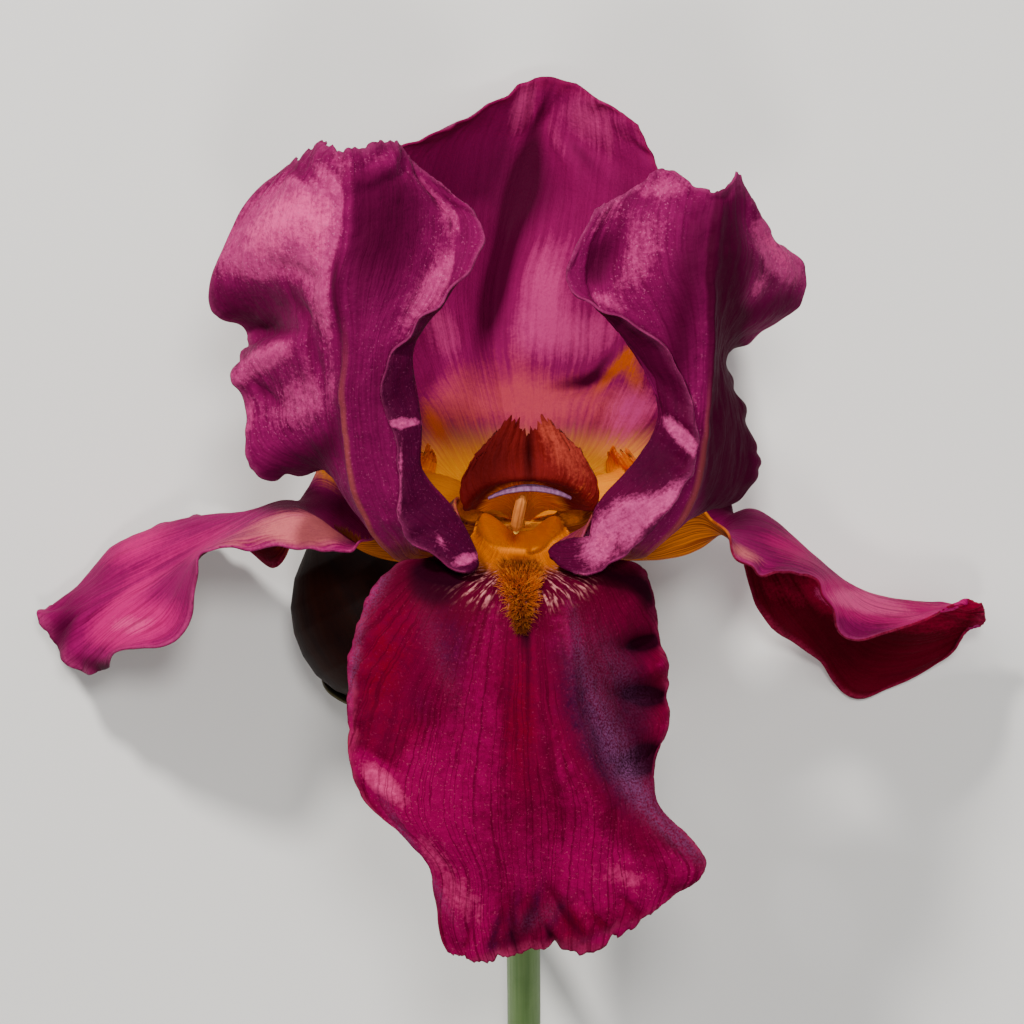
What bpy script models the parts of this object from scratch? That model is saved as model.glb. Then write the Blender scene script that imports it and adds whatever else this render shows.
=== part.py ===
"""Bearded iris bloom, cut with a short length of stem and laid on its back.

Three falls, three standards, three style arms with their lips, three stamens,
three beards, the tube, ovary, spathes and stem, and the next bud on its stalk.
Lengths in this file are millimetres in the flower's own frame (X right, Y toward
the top of the bloom, Z up); every object is written in metres and moved last, so
that the origin is the middle of the base of the whole bloom.
"""

import math

import bpy
import numpy as np

# ---------------------------------------------------------------- dimensions
MM = 0.001
PETAL_THICKNESS = 0.6      # falls and standards
ARM_THICKNESS = 0.6        # style arms
SPATHE_THICKNESS = 0.5
CLEARANCE = 0.3            # between one piece and the piece that carries it
PETAL_ROWS, PETAL_COLUMNS = 19, 13
HEART = np.array([1.5, -2.0, 46.0])      # where all the petals meet
LEAN = math.radians(15)                  # the bloom's axis, above the table
CLAW_RADIUS = 4.5                        # ring on which the petals start
TUBE_RADIUS = 3.85
OVARY_RADIUS = 4.6
STEM_RADIUS = 2.75
BUD_RADIUS = 12.4
BUD_CENTRE = np.array([-24.0, -17.5, 14.7])
BUD_AXIS = np.array([-0.5, 0.86, 0.06])

UP = np.array([0.0, math.cos(LEAN), math.sin(LEAN)])
FRONT = np.array([0.0, -math.sin(LEAN), math.cos(LEAN)])
RIGHT = np.array([1.0, 0.0, 0.0])


def around(azimuth, sideways, height, outward):
    """A point given from the heart: azimuth 0 is the front, 120 the right."""
    turn = math.radians(azimuth)
    out = math.sin(turn) * RIGHT + math.cos(turn) * FRONT
    side = math.cos(turn) * RIGHT - math.sin(turn) * FRONT
    return HEART + sideways * side + height * UP + outward * out


def claw(azimuth, spread, count=7):
    """The first rib of a petal: an arc of the ring on which the petals start."""
    angles = [azimuth + spread * (2 * i / (count - 1) - 1) for i in range(count)]
    return [tuple(around(angle, 0, 0, CLAW_RADIUS)) for angle in angles]


# ------------------------------------------------- petals, rib by rib, claw to tip
# Each rib runs from one margin over the midrib to the other margin.
FALL_FRONT = [
 claw(0, 24),
    [(-4.5, -0.2, 57), (-3.8, -2.4, 57.1), (-1.9, -4.5, 57.2), (1.4, -5.4, 57.2),
     (4.7, -4.5, 57.2), (6.4, -2.5, 57.1), (6.9, -0.6, 57)],
    [(-8.4, -5.6, 66), (-6.4, -7, 66.5), (-3, -8.6, 67), (1.3, -9, 67),
     (5.6, -8.6, 67), (9, -7, 66), (11, -5.4, 65.2)],
    [(-16.5, -7.7, 66.6), (-11.5, -9, 70), (-5, -11.3, 73), (1.4, -12.5, 74),
     (7.5, -11.3, 73), (13, -9, 69.5), (17.5, -7.5, 65.6)],
    [(-21.8, -12.5, 69), (-14.5, -16.5, 74), (-6.5, -19, 77), (1.5, -19.5, 78.5),
     (8.5, -19, 78), (14.5, -16, 73.5), (21.3, -11.5, 66.5)],
    [(-24.8, -22.5, 71.5), (-16.5, -26.5, 75), (-7, -28.5, 78.3), (1.5, -28.5, 80),
     (9.5, -28.5, 79.5), (15.8, -26, 73.5), (23.2, -21.5, 67.5)],
    [(-24.8, -32.5, 74), (-16.5, -36.5, 76), (-7, -37.5, 78), (1.7, -37.5, 80),
     (12, -37, 80), (17.5, -35, 75), (23.6, -32, 70)],
    [(-22.3, -43, 76.5), (-15.5, -45, 77), (-6.5, -46, 78), (2, -46, 79),
     (14, -43.5, 80.5), (18.5, -41.5, 79), (20.8, -40.5, 76)],
    [(-12.5, -52.5, 75), (-8.5, -54, 76), (-3.5, -54.5, 77), (2.3, -54.5, 77),
     (13, -52, 79), (20, -48.5, 80), (25, -47, 79)],
    [(-11.3, -61, 73.5), (-8, -61.5, 75), (-3, -61.5, 76), (2.8, -61, 76),
     (12.5, -59, 78.5), (21, -54.5, 79.5), (28.9, -51.5, 79)],
    [(-9.3, -66.8, 73.5), (-6, -67.6, 74.5), (-1.5, -67.3, 75.5), (3.5, -65.8, 75.5),
     (11.5, -66.2, 77.5), (18.5, -61.8, 78), (27.5, -55, 78.5)],
]

FALL_LEFT = [
 claw(-120, -21),
    [(-9, -3.5, 46), (-9.2, -5.2, 45), (-9.2, -6, 43.5), (-9.2, -5.8, 42),
     (-9.5, -4.5, 40), (-9.5, -2, 38.5), (-9, 1, 38)],
    [(-17.5, -2.5, 45.5), (-17.8, -5.5, 44), (-18.3, -7.3, 41.5), (-19, -7.5, 38),
     (-20, -6, 34.5), (-20.5, -2, 32), (-20.5, 2.5, 30.5)],
    [(-24.5, -5.5, 46.5), (-24.7, -5.5, 43), (-25.7, -5, 39), (-27.5, -3.5, 34.5),
     (-29.5, 0, 30), (-31, 4, 27), (-31.5, 8, 25.5)],
    [(-30.5, -6, 45.5), (-31.5, -2.5, 42), (-33, -0.5, 37), (-35, 1, 31),
     (-36.5, 1.5, 26), (-37.5, -1.5, 21), (-37.5, -8, 17)],
    [(-42.5, -5.5, 42), (-42, -3.5, 37.5), (-43, -2.5, 32), (-44.5, -2, 26),
     (-46.5, -1, 20), (-48, -0.5, 14), (-48.5, -2.5, 8)],
    [(-50.5, -9, 38), (-51, -8, 33), (-52, -7.5, 27), (-54, -7.5, 21),
     (-57, -5, 15), (-60, -3, 8.2), (-61.5, -3, 2.8)],
    [(-53, -20.5, 34), (-55.5, -16.5, 29), (-58.5, -13, 23), (-62, -11.5, 17),
     (-65.5, -9, 11.5), (-68, -7, 5.2), (-69, -7.5, 0.3)],
    [(-62, -22.5, 29.5), (-63.5, -21, 24.5), (-66, -18, 19), (-69, -15, 13.5),
     (-71.5, -13.5, 9), (-73, -12.5, 4.2), (-73.5, -13, 0.3)],
    [(-66, -25, 21), (-70, -27, 16), (-74.5, -25, 12), (-77.5, -21, 9),
     (-79.5, -18.5, 7), (-79, -16.5, 4.5), (-77, -15.5, 2.3)],
]

FALL_RIGHT = [
 claw(120, 21),
    [(12, -3.5, 46), (12.2, -5.2, 45), (12.2, -6, 43.5), (12.2, -5.8, 42),
     (12.5, -4.5, 40), (12.5, -2, 38.5), (12, 1, 38)],
    [(20.5, -2, 46.5), (20.5, -4, 45), (21, -6.5, 42), (22, -7.5, 38),
     (23, -6, 34.5), (23.5, -2, 32), (23.5, 2.5, 30.5)],
    [(29.5, 1, 45), (29.5, -1.5, 42), (30, -4.5, 38), (31, -5, 33.5),
     (32.5, -3, 29), (33.5, 0.5, 26), (34, 3, 25)],
    [(35.5, -6.5, 43), (36, -5, 39), (37, -3, 34.5), (38, 0, 29),
     (39, 0, 25), (40, -4, 20), (38.5, -10, 17)],
    [(41.5, -10, 41), (43.5, -7.5, 35.5), (45, -5.5, 30), (46.5, -4.5, 24),
     (47.5, -6.5, 19), (47, -12, 14), (43.5, -20, 11)],
    [(48.5, -11, 38), (50.5, -10.5, 32.5), (52, -10.5, 26), (54, -11, 19),
     (55, -14, 14), (54, -20, 7.5), (52, -25.5, 4)],
    [(53, -19.5, 33), (55.5, -16.5, 28), (58, -14.5, 22), (60.5, -14, 16),
     (61.5, -17.5, 11), (60.5, -24.5, 4.3), (57, -31.5, 0.4)],
    [(60, -20, 29), (62.5, -18, 24), (65, -16, 19), (67, -15, 14),
     (68, -18.5, 10), (67.5, -24, 4.6), (65.5, -29.5, 1.4)],
    [(67.5, -17.5, 24), (70, -16.5, 20), (72, -16, 16), (73, -15.5, 12.5),
     (73.5, -18, 9.5), (73.5, -21.5, 6), (72.5, -25, 4)],
    [(72.5, -15.5, 18), (75, -15, 16), (77.5, -14.5, 14), (79, -16.5, 12),
     (79, -18.5, 11), (77, -19.5, 10), (75, -21, 9)],
]

STANDARD_LEFT = [
 claw(-58, 20),
    [(-9, -2, 48.5), (-9.8, -4, 49.3), (-9.8, -5.5, 50.6), (-9.3, -6.5, 52.5),
     (-8.3, -4.8, 54.5), (-7.2, -1.6, 56), (-6, 1.2, 57)],
    [(-15.5, -1, 49.5), (-16, -3, 51), (-16, -5.5, 53.5), (-15.2, -7.5, 56),
     (-13.5, -5, 59.5), (-11, -1, 62), (-8.5, 1, 64.5)],
    [(-22, 2.5, 50.5), (-22, 0.5, 53), (-21.3, -2.5, 56.5), (-19.3, -5.3, 60),
     (-12.5, -3.6, 66.5), (-5.2, -7.2, 71), (-7, -9.2, 73.8)],
    [(-26.5, 6.5, 51.5), (-25.8, 4.5, 54), (-24.5, 0.8, 58), (-21.8, -1.5, 62.5),
     (-14.5, -1.5, 67.5), (-6.8, -3.5, 70.4), (-13, -6.1, 73.6)],
    [(-31, 6.8, 52.5), (-28.8, 6.5, 56), (-26.5, 4, 60.5), (-23.4, 2.6, 64.5),
     (-16.5, 2, 68.5), (-9.5, 0.5, 70.3), (-16.6, -3.5, 73)],
    [(-36.5, 5.1, 53.5), (-32.5, 8, 58), (-28.5, 8.2, 62), (-24.6, 7.5, 66.3),
     (-19, 7.5, 68.7), (-13.4, 5.4, 70.3), (-17.4, 3, 72.5)],
    [(-41, 7, 55.5), (-36.5, 11.5, 57.5), (-31, 13, 62.5), (-25.1, 12.7, 68),
     (-20.5, 12.5, 69.8), (-13.7, 11.2, 70.5), (-17.3, 9.5, 72.3)],
    [(-41.5, 16, 54), (-37, 18, 58), (-31.5, 19.5, 64.5), (-25.3, 19.5, 70.5),
     (-21, 19.5, 71.3), (-14.6, 19, 71), (-19.8, 17.5, 73)],
    [(-43.7, 21.3, 54), (-38.7, 23.8, 59), (-32, 25.3, 66.5), (-24.8, 26, 72),
     (-20.5, 26, 72.8), (-14.7, 25.5, 71.5), (-17.5, 24.5, 74)],
    [(-41.2, 26.8, 50), (-37.3, 28.5, 55.5), (-32, 31.5, 66.5), (-26.2, 33, 74),
     (-18.5, 34, 73), (-10.5, 32.5, 69), (-9.6, 32.8, 71)],
    [(-46.8, 31.5, 51.5), (-41, 35.5, 59), (-33.5, 40.5, 69), (-24.6, 41, 75),
     (-17, 42, 72), (-8.9, 40.8, 67), (-4.1, 40.5, 66.8)],
    [(-46, 38.5, 54.5), (-40, 43, 62), (-32.5, 46.5, 71), (-24.4, 46.5, 75.2),
     (-17, 47.5, 71.5), (-9.6, 46, 66.5), (-5, 44.5, 65.5)],
    [(-40.8, 47.3, 59), (-36, 49.5, 65), (-30.5, 51.3, 71.5), (-24.3, 50.5, 74.5),
     (-17.5, 51.5, 71), (-12.6, 49.5, 67), (-7.6, 47.2, 65.5)],
    [(-33.2, 53.6, 62.5), (-30.2, 55.3, 66.5), (-27.3, 55.9, 70.5), (-24.6, 54.5, 73),
     (-19, 56.6, 71.5), (-15.1, 53.5, 68), (-10.1, 49.7, 66.5)],
]

STANDARD_RIGHT = [
 claw(58, 20),
    [(8.6, 1.2, 57), (9.8, -1.6, 56), (11, -4.8, 54.5), (12, -6.5, 52.5),
     (12.6, -5.5, 50.6), (12.6, -4, 49.3), (12, -2, 48.5)],
    [(12.9, 1.3, 62.5), (14.4, -1.1, 61), (16, -5, 59.5), (18, -7, 56),
     (19.3, -5.5, 53.5), (19.5, -3.5, 51.5), (19, -1, 50)],
    [(9.8, -9.2, 73.4), (6, -6, 70.6), (14.5, -3.6, 66.5), (22.5, -4.5, 60.5),
     (24.5, -3, 57), (25.8, -1, 54), (26, 0.8, 51)],
    [(14.8, -8, 74), (10.9, -5.5, 70.8), (17, -2, 67.5), (25.5, -1, 62.5),
     (28, -0.5, 59), (29.5, 0.3, 55.5), (30.3, 0.9, 52)],
    [(18.8, -5.5, 74.5), (12.3, -0.8, 71), (19.5, 1.5, 68.5), (27.5, 3, 64.5),
     (30.5, 2.5, 61), (32.8, 1.8, 57), (34.2, 1, 53)],
    [(22.5, -1.3, 75), (15.3, 3.2, 70.8), (22, 6, 69), (28.5, 7.5, 67),
     (31.8, 7, 63), (35, 6, 58.5), (37.8, 5.8, 54)],
    [(26.5, 4, 74), (20.3, 9.5, 70.5), (25, 11, 70), (29, 12.7, 69.5),
     (32, 12.3, 65.5), (35, 11.5, 61), (37.3, 10.8, 57)],
    [(28.2, 11, 73), (22.2, 14.3, 70.5), (26, 16.5, 71), (29.4, 17.5, 71),
     (31.5, 17.3, 67.5), (33.8, 17, 64), (35.3, 16.8, 60.5)],
    [(25.8, 20.5, 73), (20.2, 21, 70.5), (25.8, 23.5, 72.5), (29.6, 24, 72.8),
     (31.2, 24, 69.5), (32.3, 23.5, 66), (33, 23, 62)],
    [(20.5, 27.5, 73.5), (16, 27.5, 70.3), (24.3, 31, 74.3), (29.7, 30.5, 74.3),
     (32.5, 29.5, 70), (35.5, 28, 64.5), (38.3, 27.8, 57.5)],
    [(9.9, 33, 71.5), (13, 34, 70.3), (22, 38, 74.5), (29.9, 37.5, 75),
     (34.5, 35.5, 70.5), (40, 33, 63), (45, 32, 55.5)],
    [(8.4, 37.3, 71.5), (14, 41.5, 71.5), (22.5, 44, 74.5), (30.6, 42.5, 75),
     (35, 41.3, 71), (40.5, 38.5, 63), (46, 36.3, 56)],
    [(10.6, 42, 71.5), (16, 46, 72), (23.5, 48.8, 73.8), (31, 45.6, 74.8),
     (34, 45.5, 72.3), (39, 41.5, 65.5), (44.5, 39.3, 58)],
    [(12.5, 46, 71.8), (18.3, 49.2, 72), (25, 51.3, 73), (31.5, 48, 74.5),
     (34.2, 52, 74), (36.3, 45.5, 69), (41.5, 41.5, 61)],
]

STANDARD_BACK = [
 claw(180, -20),
    [(-11.5, 3.2, 33), (-8, 4.3, 32.6), (-3.5, 5, 33.4), (1, 5, 33.8),
     (5.5, 5, 33.4), (10, 4.3, 32.6), (13.5, 3.2, 33)],
    [(-16, 9.2, 28.6), (-11, 10, 27.4), (-5.2, 10, 27.8), (0, 10, 28),
     (6, 10, 27.8), (14.3, 10, 27.6), (22, 9.2, 29.2)],
    [(-18.5, 16, 28), (-13, 16.3, 25.5), (-6.5, 16.5, 23.5), (-1.2, 16.5, 22.7),
     (6, 16.5, 23.5), (15.3, 16.3, 25.6), (25, 16, 28.5)],
    [(-22.5, 25, 27), (-16, 25, 22), (-8.5, 24.5, 18), (-2.6, 24, 16.5),
     (5.5, 24, 18.5), (16, 25, 22.5), (25.5, 25, 27.5)],
    [(-25, 35, 24.5), (-17.5, 35, 18.5), (-9.5, 34, 13), (-3.4, 33.5, 11),
     (5, 33.5, 13.5), (16, 34.5, 18.5), (26.5, 35, 24.5)],
    [(-26, 46, 20.5), (-18.5, 46, 14), (-9.5, 44.5, 6.8), (-1.8, 44, 4.1),
     (6.5, 44, 7.2), (17, 44.5, 14), (26.5, 45, 20)],
    [(-24, 54.5, 18), (-17.3, 55, 12), (-8.8, 54, 4), (0.4, 54, 0.75),
     (8, 53.5, 3.6), (17, 53.5, 10.5), (25, 54, 17)],
    [(-18.5, 60, 16), (-13.5, 61.5, 11), (-6.3, 63, 4.2), (2.5, 62.5, 0.7),
     (9, 62.5, 3.3), (16.5, 61.5, 9), (23.2, 59, 15)],
    [(-10, 63.7, 14), (-6, 66, 10), (-1.5, 70, 7.5), (4, 73, 5.5),
     (9.5, 72.5, 6.5), (15, 69, 9.5), (21, 64.5, 14)],
]


# Style arm and crest: (sideways, height, outward) from the heart, half of each rib
# from the margin to the middle.
ARM_HALVES = [
    [(-1.3, 1.0, 1.0), (-0.9, 1.2, 1.4), (-0.45, 1.3, 1.7), (0, 1.4, 1.8)],
    [(-3.6, 3.4, 4.0), (-2.4, 4.6, 4.4), (-1.2, 5.2, 4.7), (0, 5.4, 4.8)],
    [(-6.2, 5.0, 10), (-4.2, 7.6, 10), (-2.1, 8.8, 10), (0, 9.2, 10)],
    [(-8.6, 6.6, 15.5), (-6.2, 9.6, 15.5), (-3.0, 11.2, 15.6), (0, 11.6, 15.6)],
    [(-10.3, 8.0, 19.0), (-7.6, 11.0, 19.2), (-3.8, 12.4, 19.4), (0, 12.8, 19.4)],
    [(-10.6, 10.5, 18.8), (-7.8, 13.0, 18.9), (-3.9, 14.3, 19.0), (0, 14.3, 18.2)],
    [(-9.3, 14.2, 18.4), (-6.6, 16.5, 18.2), (-3.4, 17.5, 18.0), (0, 16.6, 17.2)],
    [(-7.9, 16.2, 17.8), (-4.7, 20.0, 17.2), (-1.6, 22.2, 16.6), (0, 20.0, 16.3)],
]

LIP_DROOP = [(-6.3, 2.0), (-4.2, 0.9), (-2.1, 0.25), (0, 0), (2.1, 0.25), (4.2, 0.9), (6.3, 2.0)]
# (height, radius) of each bract, foot to tip
INNER_SPATHE = [(-50, 3.55), (-47, 3.75), (-42, 4.75), (-35, 5.35), (-27, 5.4), (-19, 5.5), (-12, 5.9)]
OUTER_SPATHE = [(-53, 3.75), (-50, 4.5), (-45, 5.2), (-37, 6.3), (-27, 6.6), (-15, 6.9), (-4, 7.8)]
# (place on the bud's axis, share of the bud's radius)
BUD_SPATHE = [(-16.6, 0.26), (-14.6, 0.43), (-12, 0.66), (-8, 0.87), (-3.5, 1.01), (1.5, 1.06)]

STEM_LINE = [(1.5, -52.2, 32.5), (1.7, -62, 28.6), (1.9, -74, 20.2), (2, -86, 10.8),
             (2, -94.5, 5.1), (2, -101, 3.1), (2, -106, 2.77)]
STALK_LINE = [(1.8, -69.5, 23.3), (-1.5, -62.5, 24.9), (-5, -56, 22.5), (-9.5, -48, 18.5),
              (-13.6, -39.5, 15.4), (-15.8, -32.1, 14.0)]


# ---------------------------------------------------------------- surfaces
def spline(values, knots, at):
    """Natural cubic spline through values at knots, read at the parameters at."""
    count = len(knots)
    step = np.diff(knots)
    system = np.zeros((count, count))
    right = np.zeros_like(values)
    system[0, 0] = system[-1, -1] = 1
    for i in range(1, count - 1):
        system[i, i - 1:i + 2] = step[i - 1], 2 * (step[i - 1] + step[i]), step[i]
        right[i] = 6 * ((values[i + 1] - values[i]) / step[i] - (values[i] - values[i - 1]) / step[i - 1])
    bend = np.linalg.solve(system, right.reshape(count, -1)).reshape(values.shape)
    k = np.clip(np.searchsorted(knots, at, side="right") - 1, 0, count - 2)
    shape = (-1,) + (1,) * (values.ndim - 1)
    h = step[k].reshape(shape)
    after = (at - knots[k]).reshape(shape)
    before = (knots[k + 1] - at).reshape(shape)
    return (
        (bend[k] * before**3 + bend[k + 1] * after**3) / (6 * h)
        + (values[k] / h - bend[k] * h / 6) * before
        + (values[k + 1] / h - bend[k + 1] * h / 6) * after
    )


def spacing(points):
    """Knots from 0 to 1, by the mean distance between neighbours on the first axis."""
    step = np.linalg.norm(np.diff(points, axis=0), axis=-1)
    step = step.reshape(len(step), -1).mean(axis=1)
    knots = np.concatenate([[0.0], np.cumsum(step)])
    return knots / knots[-1]


def read_surface(ribs, along, across):
    """Points of the surface through the ribs, at every along by every across."""
    net = np.array(ribs, float)
    first, second = spacing(net), spacing(net.transpose(1, 0, 2))
    dense = spline(net, first, np.asarray(along, float))
    return spline(dense.transpose(1, 0, 2), second, np.asarray(across, float)).transpose(1, 0, 2)


def normals_of(ribs, along, across):
    """The surface and its unit normals, by small steps each way."""
    step = 0.004
    low_t, high_t = np.clip(along - step, 0, 1), np.clip(along + step, 0, 1)
    low_s, high_s = np.clip(across - step, 0, 1), np.clip(across + step, 0, 1)
    by_t = read_surface(ribs, high_t, across) - read_surface(ribs, low_t, across)
    by_s = read_surface(ribs, along, high_s) - read_surface(ribs, along, low_s)
    normal = np.cross(by_t, by_s)
    return read_surface(ribs, along, across), normal / np.linalg.norm(normal, axis=-1, keepdims=True)


# ---------------------------------------------------------------- objects
def claim(name, material):
    """The active object takes its name and material."""
    obj = bpy.context.active_object
    obj.name = name
    obj.data.name = name
    obj.data.materials.clear()
    obj.data.materials.append(material)
    return obj


def sheet(name, ribs, rows, columns, thickness, material):
    """A thin curved sheet through the ribs, thickened to both sides."""
    bpy.ops.mesh.primitive_grid_add(x_subdivisions=columns - 1, y_subdivisions=rows - 1, size=2)
    obj = claim(name, material)
    points = read_surface(ribs, np.linspace(0, 1, rows), np.linspace(0, 1, columns)) * MM
    for vertex in obj.data.vertices:
        column = round((vertex.co.x + 1) / 2 * (columns - 1))
        row = round((vertex.co.y + 1) / 2 * (rows - 1))
        vertex.co = points[row, column]
    solid = obj.modifiers.new("thickness", "SOLIDIFY")
    solid.thickness = thickness * MM
    solid.offset = 0
    solid.use_even_offset = False
    bpy.ops.object.modifier_apply(modifier=solid.name)
    return obj


def tube(name, line, radii, sides, rings, material, flat=1.0):
    """A round rod along a smooth line, closed at both ends."""
    line = np.array(line, float)
    knots = spacing(line)
    at = np.linspace(0, 1, rings)
    centre = spline(line, knots, at)
    radius = np.interp(at, np.linspace(0, 1, len(radii)), radii)
    bpy.ops.mesh.primitive_cylinder_add(vertices=sides, radius=1, depth=2)
    obj = claim(name, material)
    bpy.ops.object.mode_set(mode="EDIT")
    bpy.ops.mesh.select_all(action="SELECT")
    bpy.ops.object.mode_set(mode="OBJECT")
    mesh = obj.data
    mesh.clear_geometry()
    tangent = np.gradient(centre, axis=0)
    tangent /= np.linalg.norm(tangent, axis=1, keepdims=True)
    side = np.cross(tangent, np.array([0.0, 0.0, 1.0]) + 0.01)
    side /= np.linalg.norm(side, axis=1, keepdims=True)
    lift = np.cross(side, tangent)
    vertices, faces = [], []
    for c, r, a, b in zip(centre, radius, side, lift):
        for k in range(sides):
            turn = 2 * math.pi * k / sides
            vertices.append(tuple((c + r * (math.cos(turn) * a + flat * math.sin(turn) * b)) * MM))
    for i in range(rings - 1):
        for k in range(sides):
            m = (k + 1) % sides
            faces.append((i * sides + k, i * sides + m, (i + 1) * sides + m, (i + 1) * sides + k))
    faces.append(tuple(reversed(range(sides))))
    faces.append(tuple((rings - 1) * sides + k for k in range(sides)))
    mesh.from_pydata(vertices, [], faces)
    mesh.update()
    face_outward(obj)
    return obj


def cope(obj, other):
    """Cuts obj to the surface of the piece that it grows from."""
    cut = obj.modifiers.new("cope", "BOOLEAN")
    cut.operation = "DIFFERENCE"
    cut.solver = "EXACT"
    cut.object = other
    bpy.context.view_layer.objects.active = obj
    bpy.ops.object.modifier_apply(modifier=cut.name)


def face_outward(obj):
    """Turns the faces of the active object outward."""
    bpy.ops.object.mode_set(mode="EDIT")
    bpy.ops.mesh.select_all(action="SELECT")
    bpy.ops.mesh.normals_make_consistent(inside=False)
    bpy.ops.object.mode_set(mode="OBJECT")
    return obj


def pad(name, ribs, side, start, end, half_width, height, material):
    """A low cushion on the midrib of a petal, on the side that side gives."""
    bpy.ops.mesh.primitive_uv_sphere_add(segments=12, ring_count=9, radius=1)
    obj = claim(name, material)
    for vertex in obj.data.vertices:
        u, v, w = vertex.co.z, vertex.co.x, vertex.co.y
        t = start + (end - start) * (u + 1) / 2
        slim = half_width * (1.15 - 0.35 * (u + 1) / 2)
        s = 0.5 + slim * v
        point, normal = normals_of(ribs, np.array([t]), np.array([s]))
        rise = PETAL_THICKNESS / 2 + CLEARANCE + height * (w + 1) / 2
        vertex.co = (point[0, 0] + side * rise * normal[0, 0]) * MM
    return face_outward(obj)


def mirrored(half, lift=1.0, wide=1.0, reach=1.0, shift=0.0):
    """A whole rib from the half that runs from the margin to the middle."""
    left = [(t * wide, h * lift, r * reach) for t, h, r in half]
    whole = left + [(-t, h, r) for t, h, r in reversed(left[:-1])]
    top = max(0.0, (half[0][2] - 12) / 7)
    return [(t + shift * top, h, r) for t, h, r in whole]


def paint(name, colour, roughness):
    material = bpy.data.materials.new(name)
    material.use_nodes = True
    shader = material.node_tree.nodes["Principled BSDF"]
    shader.inputs["Base Color"].default_value = (*colour, 1)
    shader.inputs["Roughness"].default_value = roughness
    return material


# ---------------------------------------------------------------- the bloom
def build_petals(velvet, fringe):
    sheet("fall_front", FALL_FRONT, PETAL_ROWS, PETAL_COLUMNS, PETAL_THICKNESS, velvet)
    sheet("fall_left", FALL_LEFT, PETAL_ROWS, PETAL_COLUMNS, PETAL_THICKNESS, velvet)
    sheet("fall_right", FALL_RIGHT, PETAL_ROWS, PETAL_COLUMNS, PETAL_THICKNESS, velvet)
    sheet("standard_left", STANDARD_LEFT, PETAL_ROWS, PETAL_COLUMNS + 1, PETAL_THICKNESS, velvet)
    sheet("standard_right", STANDARD_RIGHT, PETAL_ROWS, PETAL_COLUMNS + 1, PETAL_THICKNESS, velvet)
    sheet("standard_back", STANDARD_BACK, PETAL_ROWS, PETAL_COLUMNS, PETAL_THICKNESS, velvet)
    pad("beard_front", FALL_FRONT, 1, 0.10, 0.40, 0.085, 1.6, fringe)
    pad("beard_left", FALL_LEFT, -1, 0.08, 0.34, 0.075, 1.4, fringe)
    pad("beard_right", FALL_RIGHT, 1, 0.08, 0.34, 0.075, 1.4, fringe)


def build_organs(style, lip, pollen, thread):
    for name, azimuth, lift, wide, reach, shift in (
        ("front", 0, 1.0, 1.0, 1.0, 1.2),
        ("left", -120, 0.48, 0.66, 1.06, 0.0),
        ("right", 120, 0.48, 0.66, 1.06, 0.0),
    ):
        ribs = []
        for number, half in enumerate(ARM_HALVES):
            rib = mirrored(half, lift if number else 1.0, wide, reach if number else 1.0, shift)
            ribs.append([tuple(around(azimuth, *place)) for place in rib])
        sheet("style_arm_" + name, ribs, 14, 11, ARM_THICKNESS, style)

        lip_ribs = []
        for out, drop in ((0.2, 1.2), (1.6, 1.5), (2.9, 2.2)):
            rib = []
            for t, fall in LIP_DROOP:
                height = (12.8 - fall) * lift - drop - 0.45
                place = (t * wide + shift, height, 19.4 * reach - 1.6 + out)
                rib.append(tuple(around(azimuth, *place)))
            lip_ribs.append(rib)
        sheet("stigma_lip_" + name, lip_ribs, 4, 9, 0.5, lip)

        low = 0.44 if azimuth else 1.0
        foot = around(azimuth, 0, 0.95, 3.1)
        line = [foot, around(azimuth, 0, 1.9 * low + 0.5, 6.5), around(azimuth, -0.3, 2.6 * low + 0.4, 12),
                around(azimuth, -0.9, 3.2 * low + 0.3, 17.0)]
        tube("filament_" + name, line, (0.55, 0.6, 0.5, 0.4), 8, 8, thread)
        line = [around(azimuth, -1.0, 3.7 * low + 0.2, 17.7), around(azimuth, -0.5, 6.6 * low, 18.4),
                around(azimuth, 0.1, 9.6 * low, 18.2)]
        tube("anther_" + name, line, (0.7, 1.0, 1.05, 1.0, 0.55), 10, 8, pollen)


def build_stem(green, papery):
    axis = [tuple(around(0, 0, h, 0)) for h in (0.4, -6, -12, -19.7)]
    tube("perianth_tube", axis, (TUBE_RADIUS, 3.6, 3.3, 3.3, 3.5), 16, 8, green)
    axis = [tuple(around(0, 0, h, 0)) for h in (-20, -28, -36, -44)]
    tube("ovary", axis, (3.6, 4.3, OVARY_RADIUS, 4.3, 3.1), 18, 10, green)
    line = [tuple(around(0, 0, h, 0)) for h in (-44.3, -48.5)] + STEM_LINE
    tube("stem", line, (STEM_RADIUS + 0.2, STEM_RADIUS, STEM_RADIUS, STEM_RADIUS), 14, 20, green)

    for name, middle, half_turn, stations in (
        ("spathe_inner", 20, 118, INNER_SPATHE),
        ("spathe_outer", 190, 125, OUTER_SPATHE),
    ):
        ribs = []
        for number, (height, radius) in enumerate(stations):
            share = number / (len(stations) - 1)
            turn = half_turn * (1 - 0.72 * max(0.0, share - 0.35) / 0.65)
            ribs.append([tuple(around(middle + turn * k, 0, height - 3.5 * share * k * k, radius))
                         for k in (-1, -0.67, -0.33, 0, 0.33, 0.67, 1)])
        sheet(name, ribs, 10, 13, SPATHE_THICKNESS, papery)


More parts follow.
